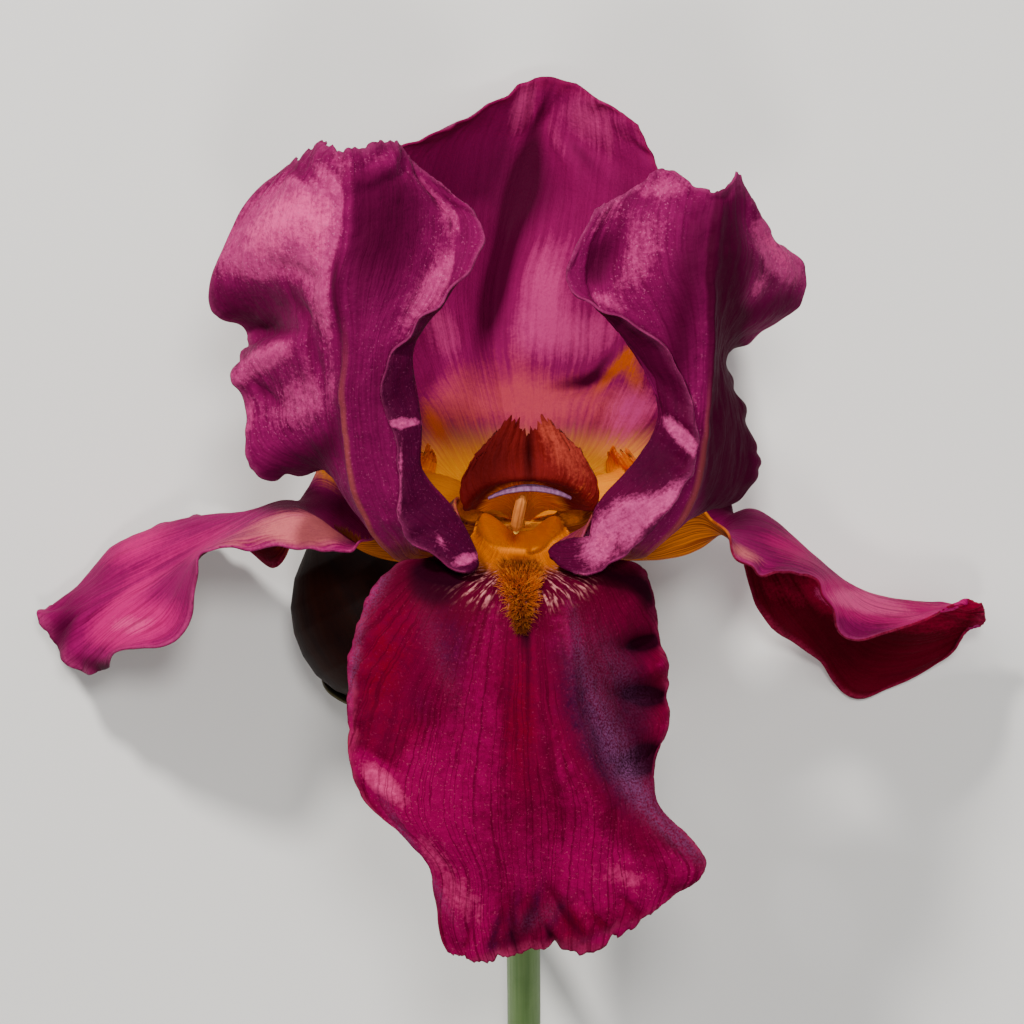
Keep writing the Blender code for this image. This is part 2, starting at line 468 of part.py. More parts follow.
def build_bud(bud_skin, papery, green):
    axis = BUD_AXIS / np.linalg.norm(BUD_AXIS)
    line = [tuple(BUD_CENTRE + axis * k) for k in (-15.5, -8, 0, 8, 15.5)]
    radii = [BUD_RADIUS * k for k in (0.16, 0.62, 0.86, 0.98, 1.0, 0.95, 0.82, 0.58, 0.18)]
    tube("bud", line, radii, 18, 13, bud_skin)
    side = np.cross(axis, (0.0, 0.0, 1.0))
    side /= np.linalg.norm(side)
    lift = np.cross(side, axis)
    ribs = []
    for station, share in BUD_SPATHE:
        rib = []
        open_up = 1.0 if station < -9 else 1.0 - 0.05 * (station + 9)
        for k in (-1, -0.67, -0.33, 0, 0.33, 0.67, 1):
            turn = math.radians(-60 + 125 * open_up * k)
            radius = BUD_RADIUS * share + 0.75
            rib.append(tuple(BUD_CENTRE + axis * (station - 2.0 * k * k * (1 - open_up) * 2)
                             + radius * (math.cos(turn) * side + math.sin(turn) * lift)))
        ribs.append(rib)
    sheet("bud_spathe", ribs, 8, 13, SPATHE_THICKNESS, papery)
    stalk = tube("bud_stalk", STALK_LINE, (2.1, 1.9, 1.8, 1.7, 1.8), 12, 14, green)
    cope(stalk, bpy.data.objects["stem"])


def settle():
    """Moves every object alike, so that the origin is under the middle of the bloom."""
    bpy.context.view_layer.update()
    low, high = np.full(3, np.inf), np.full(3, -np.inf)
    for obj in bpy.context.scene.objects:
        points = np.array([vertex.co for vertex in obj.data.vertices])
        low, high = np.minimum(low, points.min(axis=0)), np.maximum(high, points.max(axis=0))
    shift = -np.array([(low[0] + high[0]) / 2, (low[1] + high[1]) / 2, low[2]])
    for obj in bpy.context.scene.objects:
        for vertex in obj.data.vertices:
            vertex.co = np.array(vertex.co) + shift


def main():
    for obj in list(bpy.data.objects):
        bpy.data.objects.remove(obj)
    velvet = paint("petal velvet", (0.34, 0.012, 0.105), 0.6)
    fringe = paint("beard", (0.50, 0.22, 0.03), 0.8)
    style = paint("style arm", (0.42, 0.09, 0.03), 0.55)
    lip = paint("stigma lip", (0.62, 0.45, 0.56), 0.5)
    pollen = paint("anther", (0.60, 0.30, 0.10), 0.7)
    thread = paint("filament", (0.75, 0.52, 0.10), 0.5)
    green = paint("stem green", (0.10, 0.19, 0.04), 0.5)
    papery = paint("spathe", (0.12, 0.09, 0.035), 0.7)
    bud_skin = paint("bud", (0.020, 0.006, 0.008), 0.6)
    build_petals(velvet, fringe)
    build_organs(style, lip, pollen, thread)
    build_stem(green, papery)
    build_bud(bud_skin, papery, green)
    settle()
    home = bpy.data.collections.new("bearded_iris")
    bpy.context.scene.collection.children.link(home)
    for obj in list(bpy.context.scene.objects):
        for owner in list(obj.users_collection):
            owner.objects.unlink(obj)
        home.objects.link(obj)


main()
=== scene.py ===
"""Bearded iris bloom on a cut stem, lying on its back on a pale table.

Every piece is modelled in millimetres in the flower's own frame (X right, Y toward
the tips of the upright petals, Z up from the table), then set down on the solid
model that the frame holds, and dressed with procedural finishes.
"""

import logging
import math
from collections.abc import Sequence
from dataclasses import dataclass, field
from enum import Enum

import bpy
import numpy as np
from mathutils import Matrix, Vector

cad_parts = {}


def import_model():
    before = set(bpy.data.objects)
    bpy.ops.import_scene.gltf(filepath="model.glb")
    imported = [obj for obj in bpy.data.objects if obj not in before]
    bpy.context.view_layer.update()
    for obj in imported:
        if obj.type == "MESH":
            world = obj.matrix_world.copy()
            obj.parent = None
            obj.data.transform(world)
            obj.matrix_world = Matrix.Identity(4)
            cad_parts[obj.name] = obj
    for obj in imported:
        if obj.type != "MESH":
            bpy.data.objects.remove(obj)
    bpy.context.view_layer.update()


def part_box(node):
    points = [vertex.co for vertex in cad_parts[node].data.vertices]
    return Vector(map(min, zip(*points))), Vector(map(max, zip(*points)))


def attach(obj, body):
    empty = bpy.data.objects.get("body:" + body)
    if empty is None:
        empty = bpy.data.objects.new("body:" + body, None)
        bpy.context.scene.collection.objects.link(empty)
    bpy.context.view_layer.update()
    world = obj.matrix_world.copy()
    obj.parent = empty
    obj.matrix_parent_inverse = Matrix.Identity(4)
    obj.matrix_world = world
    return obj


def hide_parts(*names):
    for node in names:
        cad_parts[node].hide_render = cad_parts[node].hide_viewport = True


log = logging.getLogger("iris")

MM = 0.001
Point = tuple[float, float, float]
Rib = list[Point]
Colour = tuple[float, float, float]

# Noise on Object coordinates, in cells a metre, from broad clouds to the fine dots of the painted sheen.
CLOUD, BLOTCH, MOTTLE, COARSE, FLECK, STRAND = 90.0, 230.0, 260.0, 420.0, 640.0, 900.0
GRIT, PORE, SPECK, SPARK, SHEEN_DOT = 1250.0, 1500.0, 1900.0, 2900.0, 3400.0

# The bloom's axis and heart, in millimetres.
HEART = np.array([1.5, -2.0, 46.0])
LEAN = math.radians(15)
UP = np.array([0.0, math.cos(LEAN), math.sin(LEAN)])
FRONT = np.array([0.0, -math.sin(LEAN), math.cos(LEAN)])
RIGHT = np.array([1.0, 0.0, 0.0])
CLAW_RADIUS = 4.5
# Cells of the random relief before it repeats, and where its reading starts.
RIPPLE_CELLS = (97, 89)
RIPPLE_START = (7.3, 3.1)


def around(azimuth: float, sideways: float, height: float, outward: float) -> np.ndarray:
    """Place a point given from the heart.

    Args:
        azimuth: Turn about the bloom's axis in degrees; 0 is the front, 120 the right.
        sideways: Distance across that direction.
        height: Distance along the bloom's axis.
        outward: Distance out along that direction.

    Returns:
        The point in the flower's frame.
    """
    turn = math.radians(azimuth)
    out = math.sin(turn) * RIGHT + math.cos(turn) * FRONT
    side = math.cos(turn) * RIGHT - math.sin(turn) * FRONT
    return HEART + sideways * side + height * UP + outward * out


def claw(azimuth: float, spread: float, count: int = 7) -> Rib:
    """Return a petal's first rib, on the ring where petals start, to both sides of an azimuth."""
    angles = [azimuth + spread * (2 * i / (count - 1) - 1) for i in range(count)]
    return [tuple(around(angle, 0, 0, CLAW_RADIUS)) for angle in angles]


# Petals, rib by rib from claw to tip; each rib runs from margin over midrib to margin.
FALL_FRONT: list[Rib] = [
    claw(0, 24),
    [(-4.5, -0.2, 57), (-3.8, -2.4, 57.1), (-1.9, -4.5, 57.2), (1.4, -5.4, 57.2),
     (4.7, -4.5, 57.2), (6.4, -2.5, 57.1), (6.9, -0.6, 57)],
    [(-8.4, -5.6, 66), (-6.4, -7, 66.5), (-3, -8.6, 67), (1.3, -9, 67),
     (5.6, -8.6, 67), (9, -7, 66), (11, -5.4, 65.2)],
    [(-16.5, -7.7, 66.6), (-11.5, -9, 70), (-5, -11.3, 73), (1.4, -12.5, 74),
     (7.5, -11.3, 73), (13, -9, 69.5), (17.5, -7.5, 65.6)],
    [(-21.8, -12.5, 69), (-14.5, -16.5, 74), (-6.5, -19, 77), (1.5, -19.5, 78.5),
     (8.5, -19, 78), (14.5, -16, 73.5), (21.3, -11.5, 66.5)],
    [(-24.8, -22.5, 71.5), (-16.5, -26.5, 75), (-7, -28.5, 78.3), (1.5, -28.5, 80),
     (9.5, -28.5, 79.5), (15.8, -26, 73.5), (23.2, -21.5, 67.5)],
    [(-24.8, -32.5, 74), (-16.5, -36.5, 76), (-7, -37.5, 78), (1.7, -37.5, 80),
     (12, -37, 80), (17.5, -35, 75), (23.6, -32, 70)],
    [(-22.3, -43, 76.5), (-15.5, -45, 77), (-6.5, -46, 78), (2, -46, 79),
     (14, -43.5, 80.5), (18.5, -41.5, 79), (20.8, -40.5, 76)],
    [(-12.5, -52.5, 75), (-8.5, -54, 76), (-3.5, -54.5, 77), (2.3, -54.5, 77),
     (13, -52, 79), (20, -48.5, 80), (25, -47, 79)],
    [(-11.3, -61, 73.5), (-8, -61.5, 75), (-3, -61.5, 76), (2.8, -61, 76),
     (12.5, -59, 78.5), (21, -54.5, 79.5), (28.9, -51.5, 79)],
    [(-9.3, -66.8, 73.5), (-6, -67.6, 74.5), (-1.5, -67.3, 75.5), (3.5, -65.8, 75.5),
     (11.5, -66.2, 77.5), (18.5, -61.8, 78), (27.5, -55, 78.5)],
]

FALL_LEFT: list[Rib] = [
    claw(-120, -21),
    [(-9, -3.5, 46), (-9.2, -5.2, 45), (-9.2, -6, 43.5), (-9.2, -5.8, 42),
     (-9.5, -4.5, 40), (-9.5, -2, 38.5), (-9, 1, 38)],
    [(-17.5, -2.5, 45.5), (-17.8, -5.5, 44), (-18.3, -7.3, 41.5), (-19, -7.5, 38),
     (-20, -6, 34.5), (-20.5, -2, 32), (-20.5, 2.5, 30.5)],
    [(-24.5, -5.5, 46.5), (-24.7, -5.5, 43), (-25.7, -5, 39), (-27.5, -3.5, 34.5),
     (-29.5, 0, 30), (-31, 4, 27), (-31.5, 8, 25.5)],
    [(-30.5, -6, 45.5), (-31.5, -2.5, 42), (-33, -0.5, 37), (-35, 1, 31),
     (-36.5, 1.5, 26), (-37.5, -1.5, 21), (-37.5, -8, 17)],
    [(-42.5, -5.5, 42), (-42, -3.5, 37.5), (-43, -2.5, 32), (-44.5, -2, 26),
     (-46.5, -1, 20), (-48, -0.5, 14), (-48.5, -2.5, 8)],
    [(-50.5, -9, 38), (-51, -8, 33), (-52, -7.5, 27), (-54, -7.5, 21),
     (-57, -5, 15), (-60, -3, 8.2), (-61.5, -3, 2.8)],
    [(-53, -20.5, 34), (-55.5, -16.5, 29), (-58.5, -13, 23), (-62, -11.5, 17),
     (-65.5, -9, 11.5), (-68, -7, 5.2), (-69, -7.5, 0.3)],
    [(-62, -22.5, 29.5), (-63.5, -21, 24.5), (-66, -18, 19), (-69, -15, 13.5),
     (-71.5, -13.5, 9), (-73, -12.5, 4.2), (-73.5, -13, 0.3)],
    [(-66, -25, 21), (-70, -27, 16), (-74.5, -25, 12), (-77.5, -21, 9),
     (-79.5, -18.5, 7), (-79, -16.5, 4.5), (-77, -15.5, 2.3)],
]

FALL_RIGHT: list[Rib] = [
    claw(120, 21),
    [(12, -3.5, 46), (12.2, -5.2, 45), (12.2, -6, 43.5), (12.2, -5.8, 42),
     (12.5, -4.5, 40), (12.5, -2, 38.5), (12, 1, 38)],
    [(20.5, -2, 46.5), (20.5, -4, 45), (21, -6.5, 42), (22, -7.5, 38),
     (23, -6, 34.5), (23.5, -2, 32), (23.5, 2.5, 30.5)],
    [(29.5, 1, 45), (29.5, -1.5, 42), (30, -4.5, 38), (31, -5, 33.5),
     (32.5, -3, 29), (33.5, 0.5, 26), (34, 3, 25)],
    [(35.5, -6.5, 43), (36, -5, 39), (37, -3, 34.5), (38, 0, 29),
     (39, 0, 25), (40, -4, 20), (38.5, -10, 17)],
    [(41.5, -10, 41), (43.5, -7.5, 35.5), (45, -5.5, 30), (46.5, -4.5, 24),
     (47.5, -6.5, 19), (47, -12, 14), (43.5, -20, 11)],
    [(48.5, -11, 38), (50.5, -10.5, 32.5), (52, -10.5, 26), (54, -11, 19),
     (55, -14, 14), (54, -20, 7.5), (52, -25.5, 4)],
    [(53, -19.5, 33), (55.5, -16.5, 28), (58, -14.5, 22), (60.5, -14, 16),
     (61.5, -17.5, 11), (60.5, -24.5, 4.3), (57, -31.5, 0.4)],
    [(60, -20, 29), (62.5, -18, 24), (65, -16, 19), (67, -15, 14),
     (68, -18.5, 10), (67.5, -24, 4.6), (65.5, -29.5, 1.4)],
    [(67.5, -17.5, 24), (70, -16.5, 20), (72, -16, 16), (73, -15.5, 12.5),
     (73.5, -18, 9.5), (73.5, -21.5, 6), (72.5, -25, 4)],
    [(72.5, -15.5, 18), (75, -15, 16), (77.5, -14.5, 14), (79, -16.5, 12),
     (79, -18.5, 11), (77, -19.5, 10), (75, -21, 9)],
]

STANDARD_LEFT: list[Rib] = [
    claw(-58, 20),
    [(-9, -2, 48.5), (-9.8, -4, 49.3), (-9.8, -5.5, 50.6), (-9.3, -6.5, 52.5),
     (-8.3, -4.8, 54.5), (-7.2, -1.6, 56), (-6, 1.2, 57)],
    [(-15.5, -1, 49.5), (-16, -3, 51), (-16, -5.5, 53.5), (-15.2, -7.5, 56),
     (-13.5, -5, 59.5), (-11, -1, 62), (-8.5, 1, 64.5)],
    [(-22, 2.5, 50.5), (-22, 0.5, 53), (-21.3, -2.5, 56.5), (-19.3, -5.3, 60),
     (-12.5, -3.6, 66.5), (-5.2, -7.2, 71), (-7, -9.2, 73.8)],
    [(-26.5, 6.5, 51.5), (-25.8, 4.5, 54), (-24.5, 0.8, 58), (-21.8, -1.5, 62.5),
     (-14.5, -1.5, 67.5), (-6.8, -3.5, 70.4), (-13, -6.1, 73.6)],
    [(-31, 6.8, 52.5), (-28.8, 6.5, 56), (-26.5, 4, 60.5), (-23.4, 2.6, 64.5),
     (-16.5, 2, 68.5), (-9.5, 0.5, 70.3), (-16.6, -3.5, 73)],
    [(-36.5, 5.1, 53.5), (-32.5, 8, 58), (-28.5, 8.2, 62), (-24.6, 7.5, 66.3),
     (-19, 7.5, 68.7), (-13.4, 5.4, 70.3), (-17.4, 3, 72.5)],
    [(-41, 7, 55.5), (-36.5, 11.5, 57.5), (-31, 13, 62.5), (-25.1, 12.7, 68),
     (-20.5, 12.5, 69.8), (-13.7, 11.2, 70.5), (-17.3, 9.5, 72.3)],
    [(-41.5, 16, 54), (-37, 18, 58), (-31.5, 19.5, 64.5), (-25.3, 19.5, 70.5),
     (-21, 19.5, 71.3), (-14.6, 19, 71), (-19.8, 17.5, 73)],
    [(-43.7, 21.3, 54), (-38.7, 23.8, 59), (-32, 25.3, 66.5), (-24.8, 26, 72),
     (-20.5, 26, 72.8), (-14.7, 25.5, 71.5), (-17.5, 24.5, 74)],
    [(-41.2, 26.8, 50), (-37.3, 28.5, 55.5), (-32, 31.5, 66.5), (-26.2, 33, 74),
     (-18.5, 34, 73), (-10.5, 32.5, 69), (-9.6, 32.8, 71)],
    [(-46.8, 31.5, 51.5), (-41, 35.5, 59), (-33.5, 40.5, 69), (-24.6, 41, 75),
     (-17, 42, 72), (-8.9, 40.8, 67), (-4.1, 40.5, 66.8)],
    [(-46, 38.5, 54.5), (-40, 43, 62), (-32.5, 46.5, 71), (-24.4, 46.5, 75.2),
     (-17, 47.5, 71.5), (-9.6, 46, 66.5), (-5, 44.5, 65.5)],
    [(-40.8, 47.3, 59), (-36, 49.5, 65), (-30.5, 51.3, 71.5), (-24.3, 50.5, 74.5),
     (-17.5, 51.5, 71), (-12.6, 49.5, 67), (-7.6, 47.2, 65.5)],
    [(-33.2, 53.6, 62.5), (-30.2, 55.3, 66.5), (-27.3, 55.9, 70.5), (-24.6, 54.5, 73),
     (-19, 56.6, 71.5), (-15.1, 53.5, 68), (-10.1, 49.7, 66.5)],
]

STANDARD_RIGHT: list[Rib] = [
    claw(58, 20),
    [(8.6, 1.2, 57), (9.8, -1.6, 56), (11, -4.8, 54.5), (12, -6.5, 52.5),
     (12.6, -5.5, 50.6), (12.6, -4, 49.3), (12, -2, 48.5)],
    [(12.9, 1.3, 62.5), (14.4, -1.1, 61), (16, -5, 59.5), (18, -7, 56),
     (19.3, -5.5, 53.5), (19.5, -3.5, 51.5), (19, -1, 50)],
    [(9.8, -9.2, 73.4), (6, -6, 70.6), (14.5, -3.6, 66.5), (22.5, -4.5, 60.5),
     (24.5, -3, 57), (25.8, -1, 54), (26, 0.8, 51)],
    [(14.8, -8, 74), (10.9, -5.5, 70.8), (17, -2, 67.5), (25.5, -1, 62.5),
     (28, -0.5, 59), (29.5, 0.3, 55.5), (30.3, 0.9, 52)],
    [(18.8, -5.5, 74.5), (12.3, -0.8, 71), (19.5, 1.5, 68.5), (27.5, 3, 64.5),
     (30.5, 2.5, 61), (32.8, 1.8, 57), (34.2, 1, 53)],
    [(22.5, -1.3, 75), (15.3, 3.2, 70.8), (22, 6, 69), (28.5, 7.5, 67),
     (31.8, 7, 63), (35, 6, 58.5), (37.8, 5.8, 54)],
    [(26.5, 4, 74), (20.3, 9.5, 70.5), (25, 11, 70), (29, 12.7, 69.5),
     (32, 12.3, 65.5), (35, 11.5, 61), (37.3, 10.8, 57)],
    [(28.2, 11, 73), (22.2, 14.3, 70.5), (26, 16.5, 71), (29.4, 17.5, 71),
     (31.5, 17.3, 67.5), (33.8, 17, 64), (35.3, 16.8, 60.5)],
    [(25.8, 20.5, 73), (20.2, 21, 70.5), (25.8, 23.5, 72.5), (29.6, 24, 72.8),
     (31.2, 24, 69.5), (32.3, 23.5, 66), (33, 23, 62)],
    [(20.5, 27.5, 73.5), (16, 27.5, 70.3), (24.3, 31, 74.3), (29.7, 30.5, 74.3),
     (32.5, 29.5, 70), (35.5, 28, 64.5), (38.3, 27.8, 57.5)],
    [(9.9, 33, 71.5), (13, 34, 70.3), (22, 38, 74.5), (29.9, 37.5, 75),
     (34.5, 35.5, 70.5), (40, 33, 63), (45, 32, 55.5)],
    [(8.4, 37.3, 71.5), (14, 41.5, 71.5), (22.5, 44, 74.5), (30.6, 42.5, 75),
     (35, 41.3, 71), (40.5, 38.5, 63), (46, 36.3, 56)],
    [(10.6, 42, 71.5), (16, 46, 72), (23.5, 48.8, 73.8), (31, 45.6, 74.8),
     (34, 45.5, 72.3), (39, 41.5, 65.5), (44.5, 39.3, 58)],
    [(12.5, 46, 71.8), (18.3, 49.2, 72), (25, 51.3, 73), (31.5, 48, 74.5),
     (34.2, 52, 74), (36.3, 45.5, 69), (41.5, 41.5, 61)],
]

STANDARD_BACK: list[Rib] = [
    claw(180, -20),
    [(-11.5, 3.2, 33), (-8, 4.3, 32.6), (-3.5, 5, 33.4), (1, 5, 33.8),
     (5.5, 5, 33.4), (10, 4.3, 32.6), (13.5, 3.2, 33)],
    [(-16, 9.2, 28.6), (-11, 10, 27.4), (-5.2, 10, 27.8), (0, 10, 28),
     (6, 10, 27.8), (14.3, 10, 27.6), (22, 9.2, 29.2)],
    [(-18.5, 16, 28), (-13, 16.3, 25.5), (-6.5, 16.5, 23.5), (-1.2, 16.5, 22.7),
     (6, 16.5, 23.5), (15.3, 16.3, 25.6), (25, 16, 28.5)],
    [(-22.5, 25, 27), (-16, 25, 22), (-8.5, 24.5, 18), (-2.6, 24, 16.5),
     (5.5, 24, 18.5), (16, 25, 22.5), (25.5, 25, 27.5)],
    [(-25, 35, 24.5), (-17.5, 35, 18.5), (-9.5, 34, 13), (-3.4, 33.5, 11),
     (5, 33.5, 13.5), (16, 34.5, 18.5), (26.5, 35, 24.5)],
    [(-26, 46, 20.5), (-18.5, 46, 14), (-9.5, 44.5, 6.8), (-1.8, 44, 4.1),
     (6.5, 44, 7.2), (17, 44.5, 14), (26.5, 45, 20)],
    [(-24, 54.5, 18), (-17.3, 55, 12), (-8.8, 54, 4), (0.4, 54, 0.75),
     (8, 53.5, 3.6), (17, 53.5, 10.5), (25, 54, 17)],
    [(-18.5, 60, 16), (-13.5, 61.5, 11), (-6.3, 63, 4.2), (2.5, 62.5, 0.7),
     (9, 62.5, 3.3), (16.5, 61.5, 9), (23.2, 59, 15)],
    [(-10, 63.7, 14), (-6, 66, 10), (-1.5, 70, 7.5), (4, 73, 5.5),
     (9.5, 72.5, 6.5), (15, 69, 9.5), (21, 64.5, 14)],
]


# Style arm and crest: (sideways, height, outward) from the heart, half of each rib.
ARM_HALVES: list[Rib] = [
    [(-1.3, 1.0, 1.0), (-0.9, 1.2, 1.4), (-0.45, 1.3, 1.7), (0, 1.4, 1.8)],
    [(-3.6, 3.4, 4.0), (-2.4, 4.6, 4.4), (-1.2, 5.2, 4.7), (0, 5.4, 4.8)],
    [(-6.2, 5.0, 10), (-4.2, 7.6, 10), (-2.1, 8.8, 10), (0, 9.2, 10)],
    [(-8.6, 6.6, 15.5), (-6.2, 9.6, 15.5), (-3.0, 11.2, 15.6), (0, 11.6, 15.6)],
    [(-10.3, 8.0, 19.0), (-7.6, 11.0, 19.2), (-3.8, 12.4, 19.4), (0, 12.8, 19.4)],
    [(-10.6, 10.5, 18.8), (-7.8, 13.0, 18.9), (-3.9, 14.3, 19.0), (0, 14.3, 18.2)],
    [(-9.3, 14.2, 18.4), (-6.6, 16.5, 18.2), (-3.4, 17.5, 18.0), (0, 16.6, 17.2)],
    [(-7.9, 16.2, 17.8), (-4.7, 20.0, 17.2), (-1.6, 22.2, 16.6), (0, 20.0, 16.3)],
]
LIP_DROOP = [(-6.3, 2.0), (-4.2, 0.9), (-2.1, 0.25), (0, 0), (2.1, 0.25), (4.2, 0.9), (6.3, 2.0)]
INNER_SPATHE = [(-50, 3.55), (-47, 3.75), (-42, 4.75), (-35, 5.35), (-27, 5.4), (-19, 5.5), (-12, 5.9)]
OUTER_SPATHE = [(-53, 3.75), (-50, 4.5), (-45, 5.2), (-37, 6.3), (-27, 6.6), (-15, 6.9), (-4, 7.8)]
BUD_SPATHE = [(-16.6, 0.26), (-14.6, 0.43), (-12, 0.66), (-8, 0.87), (-3.5, 1.01), (1.5, 1.06)]
STEM_LINE: Rib = [(1.5, -52.2, 32.5), (1.7, -62, 28.6), (1.9, -74, 20.2), (2, -86, 10.8),
                  (2, -94.5, 5.1), (2, -101, 3.1), (2, -106, 2.77)]
STALK_LINE: Rib = [(1.8, -69.5, 23.3), (-1.5, -62.5, 24.9), (-5, -56, 22.5), (-9.5, -48, 18.5),
                   (-13.6, -39.5, 15.4), (-15.8, -32.1, 14.0)]


# Places across a bract's rib, from margin to margin.
SEVENTHS = (-1, -0.67, -0.33, 0, 0.33, 0.67, 1)


# ------------------------------------------------------------------ curves
def spline(values: np.ndarray, knots: np.ndarray, at: np.ndarray) -> np.ndarray:
    """Read a natural cubic spline.

    Args:
        values: What the spline passes through, along the first axis.
        knots: The parameter of each value.
        at: The parameters to read.

    Returns:
        The spline's values at those parameters.
    """
    count = len(knots)
    step = np.diff(knots)
    system = np.zeros((count, count))
    right = np.zeros_like(values)
    system[0, 0] = system[-1, -1] = 1
    for i in range(1, count - 1):
        system[i, i - 1 : i + 2] = step[i - 1], 2 * (step[i - 1] + step[i]), step[i]
        right[i] = 6 * ((values[i + 1] - values[i]) / step[i] - (values[i] - values[i - 1]) / step[i - 1])
    bend = np.linalg.solve(system, right.reshape(count, -1)).reshape(values.shape)
    k = np.clip(np.searchsorted(knots, at, side="right") - 1, 0, count - 2)
    shape = (-1,) + (1,) * (values.ndim - 1)
    h = step[k].reshape(shape)
    after = (at - knots[k]).reshape(shape)
    before = (knots[k + 1] - at).reshape(shape)
    return (
        (bend[k] * before**3 + bend[k + 1] * after**3) / (6 * h)
        + (values[k] / h - bend[k] * h / 6) * before
        + (values[k + 1] / h - bend[k + 1] * h / 6) * after
    )


def spacing(points: np.ndarray) -> np.ndarray:
    """Space out knots by the mean distance between neighbours on the first axis.

    Args:
        points: The points.

    Returns:
        The knots, from 0 to 1.
    """
    step = np.linalg.norm(np.diff(points, axis=0), axis=-1)
    step = step.reshape(len(step), -1).mean(axis=1)
    knots = np.concatenate([[0.0], np.cumsum(step)])
    return knots / knots[-1]


def unit(vectors: np.ndarray) -> np.ndarray:
    """Return the vectors at length one."""
    return vectors / np.maximum(np.linalg.norm(vectors, axis=-1, keepdims=True), 1e-9)


def lattice(rows: int, columns: int) -> tuple[np.ndarray, np.ndarray]:
    """Return the places across and along of an even grid of points, each from 0 to 1."""
    v, u = np.meshgrid(np.linspace(0, 1, rows), np.linspace(0, 1, columns), indexing="ij")
    return u, v


def ripple(u: np.ndarray, v: np.ndarray, across: float, along: float, seed: int) -> np.ndarray:
    """Make smooth random relief.

    Args:
        u: First coordinate, 0 to 1.
        v: Second coordinate, 0 to 1.
        across: Cells along the first coordinate.
        along: Cells along the second coordinate.
        seed: Which pattern.

    Returns:
        Values from about -1 to 1, of the shape of u.
    """
    wide, long = RIPPLE_CELLS
    table = np.random.default_rng(seed).uniform(-1, 1, RIPPLE_CELLS)
    a, b = np.asarray(u) * across + RIPPLE_START[0], np.asarray(v) * along + RIPPLE_START[1]
    i, j = np.floor(a).astype(int), np.floor(b).astype(int)
    f, g = a - i, b - j
    f, g = f * f * (3 - 2 * f), g * g * (3 - 2 * g)
    low = table[i % wide, j % long] * (1 - f) + table[(i + 1) % wide, j % long] * f
    high = table[i % wide, (j + 1) % long] * (1 - f) + table[(i + 1) % wide, (j + 1) % long] * f
    return low * (1 - g) + high * g


class Surface:
    """A smooth surface through ribs of points, read at any place on it."""

    REACH = 0.006  # How far to each side slopes are read, as a share of the surface.

    def __init__(self, ribs: Sequence[Rib], rows: int = 421, columns: int = 321) -> None:
        """Fit the surface.

        Args:
            ribs: The ribs, each from margin to margin.
            rows: How finely the surface is stored along.
            columns: How finely the surface is stored across.
        """
        net = np.array(ribs, float)
        along, across = spacing(net), spacing(net.transpose(1, 0, 2))
        dense = spline(net, along, np.linspace(0, 1, rows))
        dense = spline(dense.transpose(1, 0, 2), across, np.linspace(0, 1, columns))
        self.store = dense.transpose(1, 0, 2)

    def at(self, u: np.ndarray, v: np.ndarray) -> np.ndarray:
        """Read points of the surface.

        Args:
            u: Places across, 0 to 1 from the first margin.
            v: Places along, 0 to 1 from the claw.

        Returns:
            The points, in millimetres.
        """
        rows, columns = self.store.shape[:2]
        a = np.clip(u, 0, 1) * (columns - 1)
        b = np.clip(v, 0, 1) * (rows - 1)
        i = np.minimum(a.astype(int), columns - 2)
        j = np.minimum(b.astype(int), rows - 2)
        f, g = (a - i)[..., None], (b - j)[..., None]
        low = self.store[j, i] * (1 - f) + self.store[j, i + 1] * f
        high = self.store[j + 1, i] * (1 - f) + self.store[j + 1, i + 1] * f
        return low * (1 - g) + high * g

    def normal(self, u: np.ndarray, v: np.ndarray) -> np.ndarray:
        """Find which way the surface faces, across turned toward along.

        Args:
            u: Places across.
            v: Places along.

        Returns:
            The normals, at length one.
        """
        by_u = self.at(u + self.REACH, v) - self.at(u - self.REACH, v)
        by_v = self.at(u, v + self.REACH) - self.at(u, v - self.REACH)
        return unit(np.cross(by_u, by_v))

    def along(self, u: np.ndarray, v: np.ndarray) -> np.ndarray:
        """Return unit directions from claw to tip."""
        return unit(self.at(u, v + self.REACH) - self.at(u, v - self.REACH))


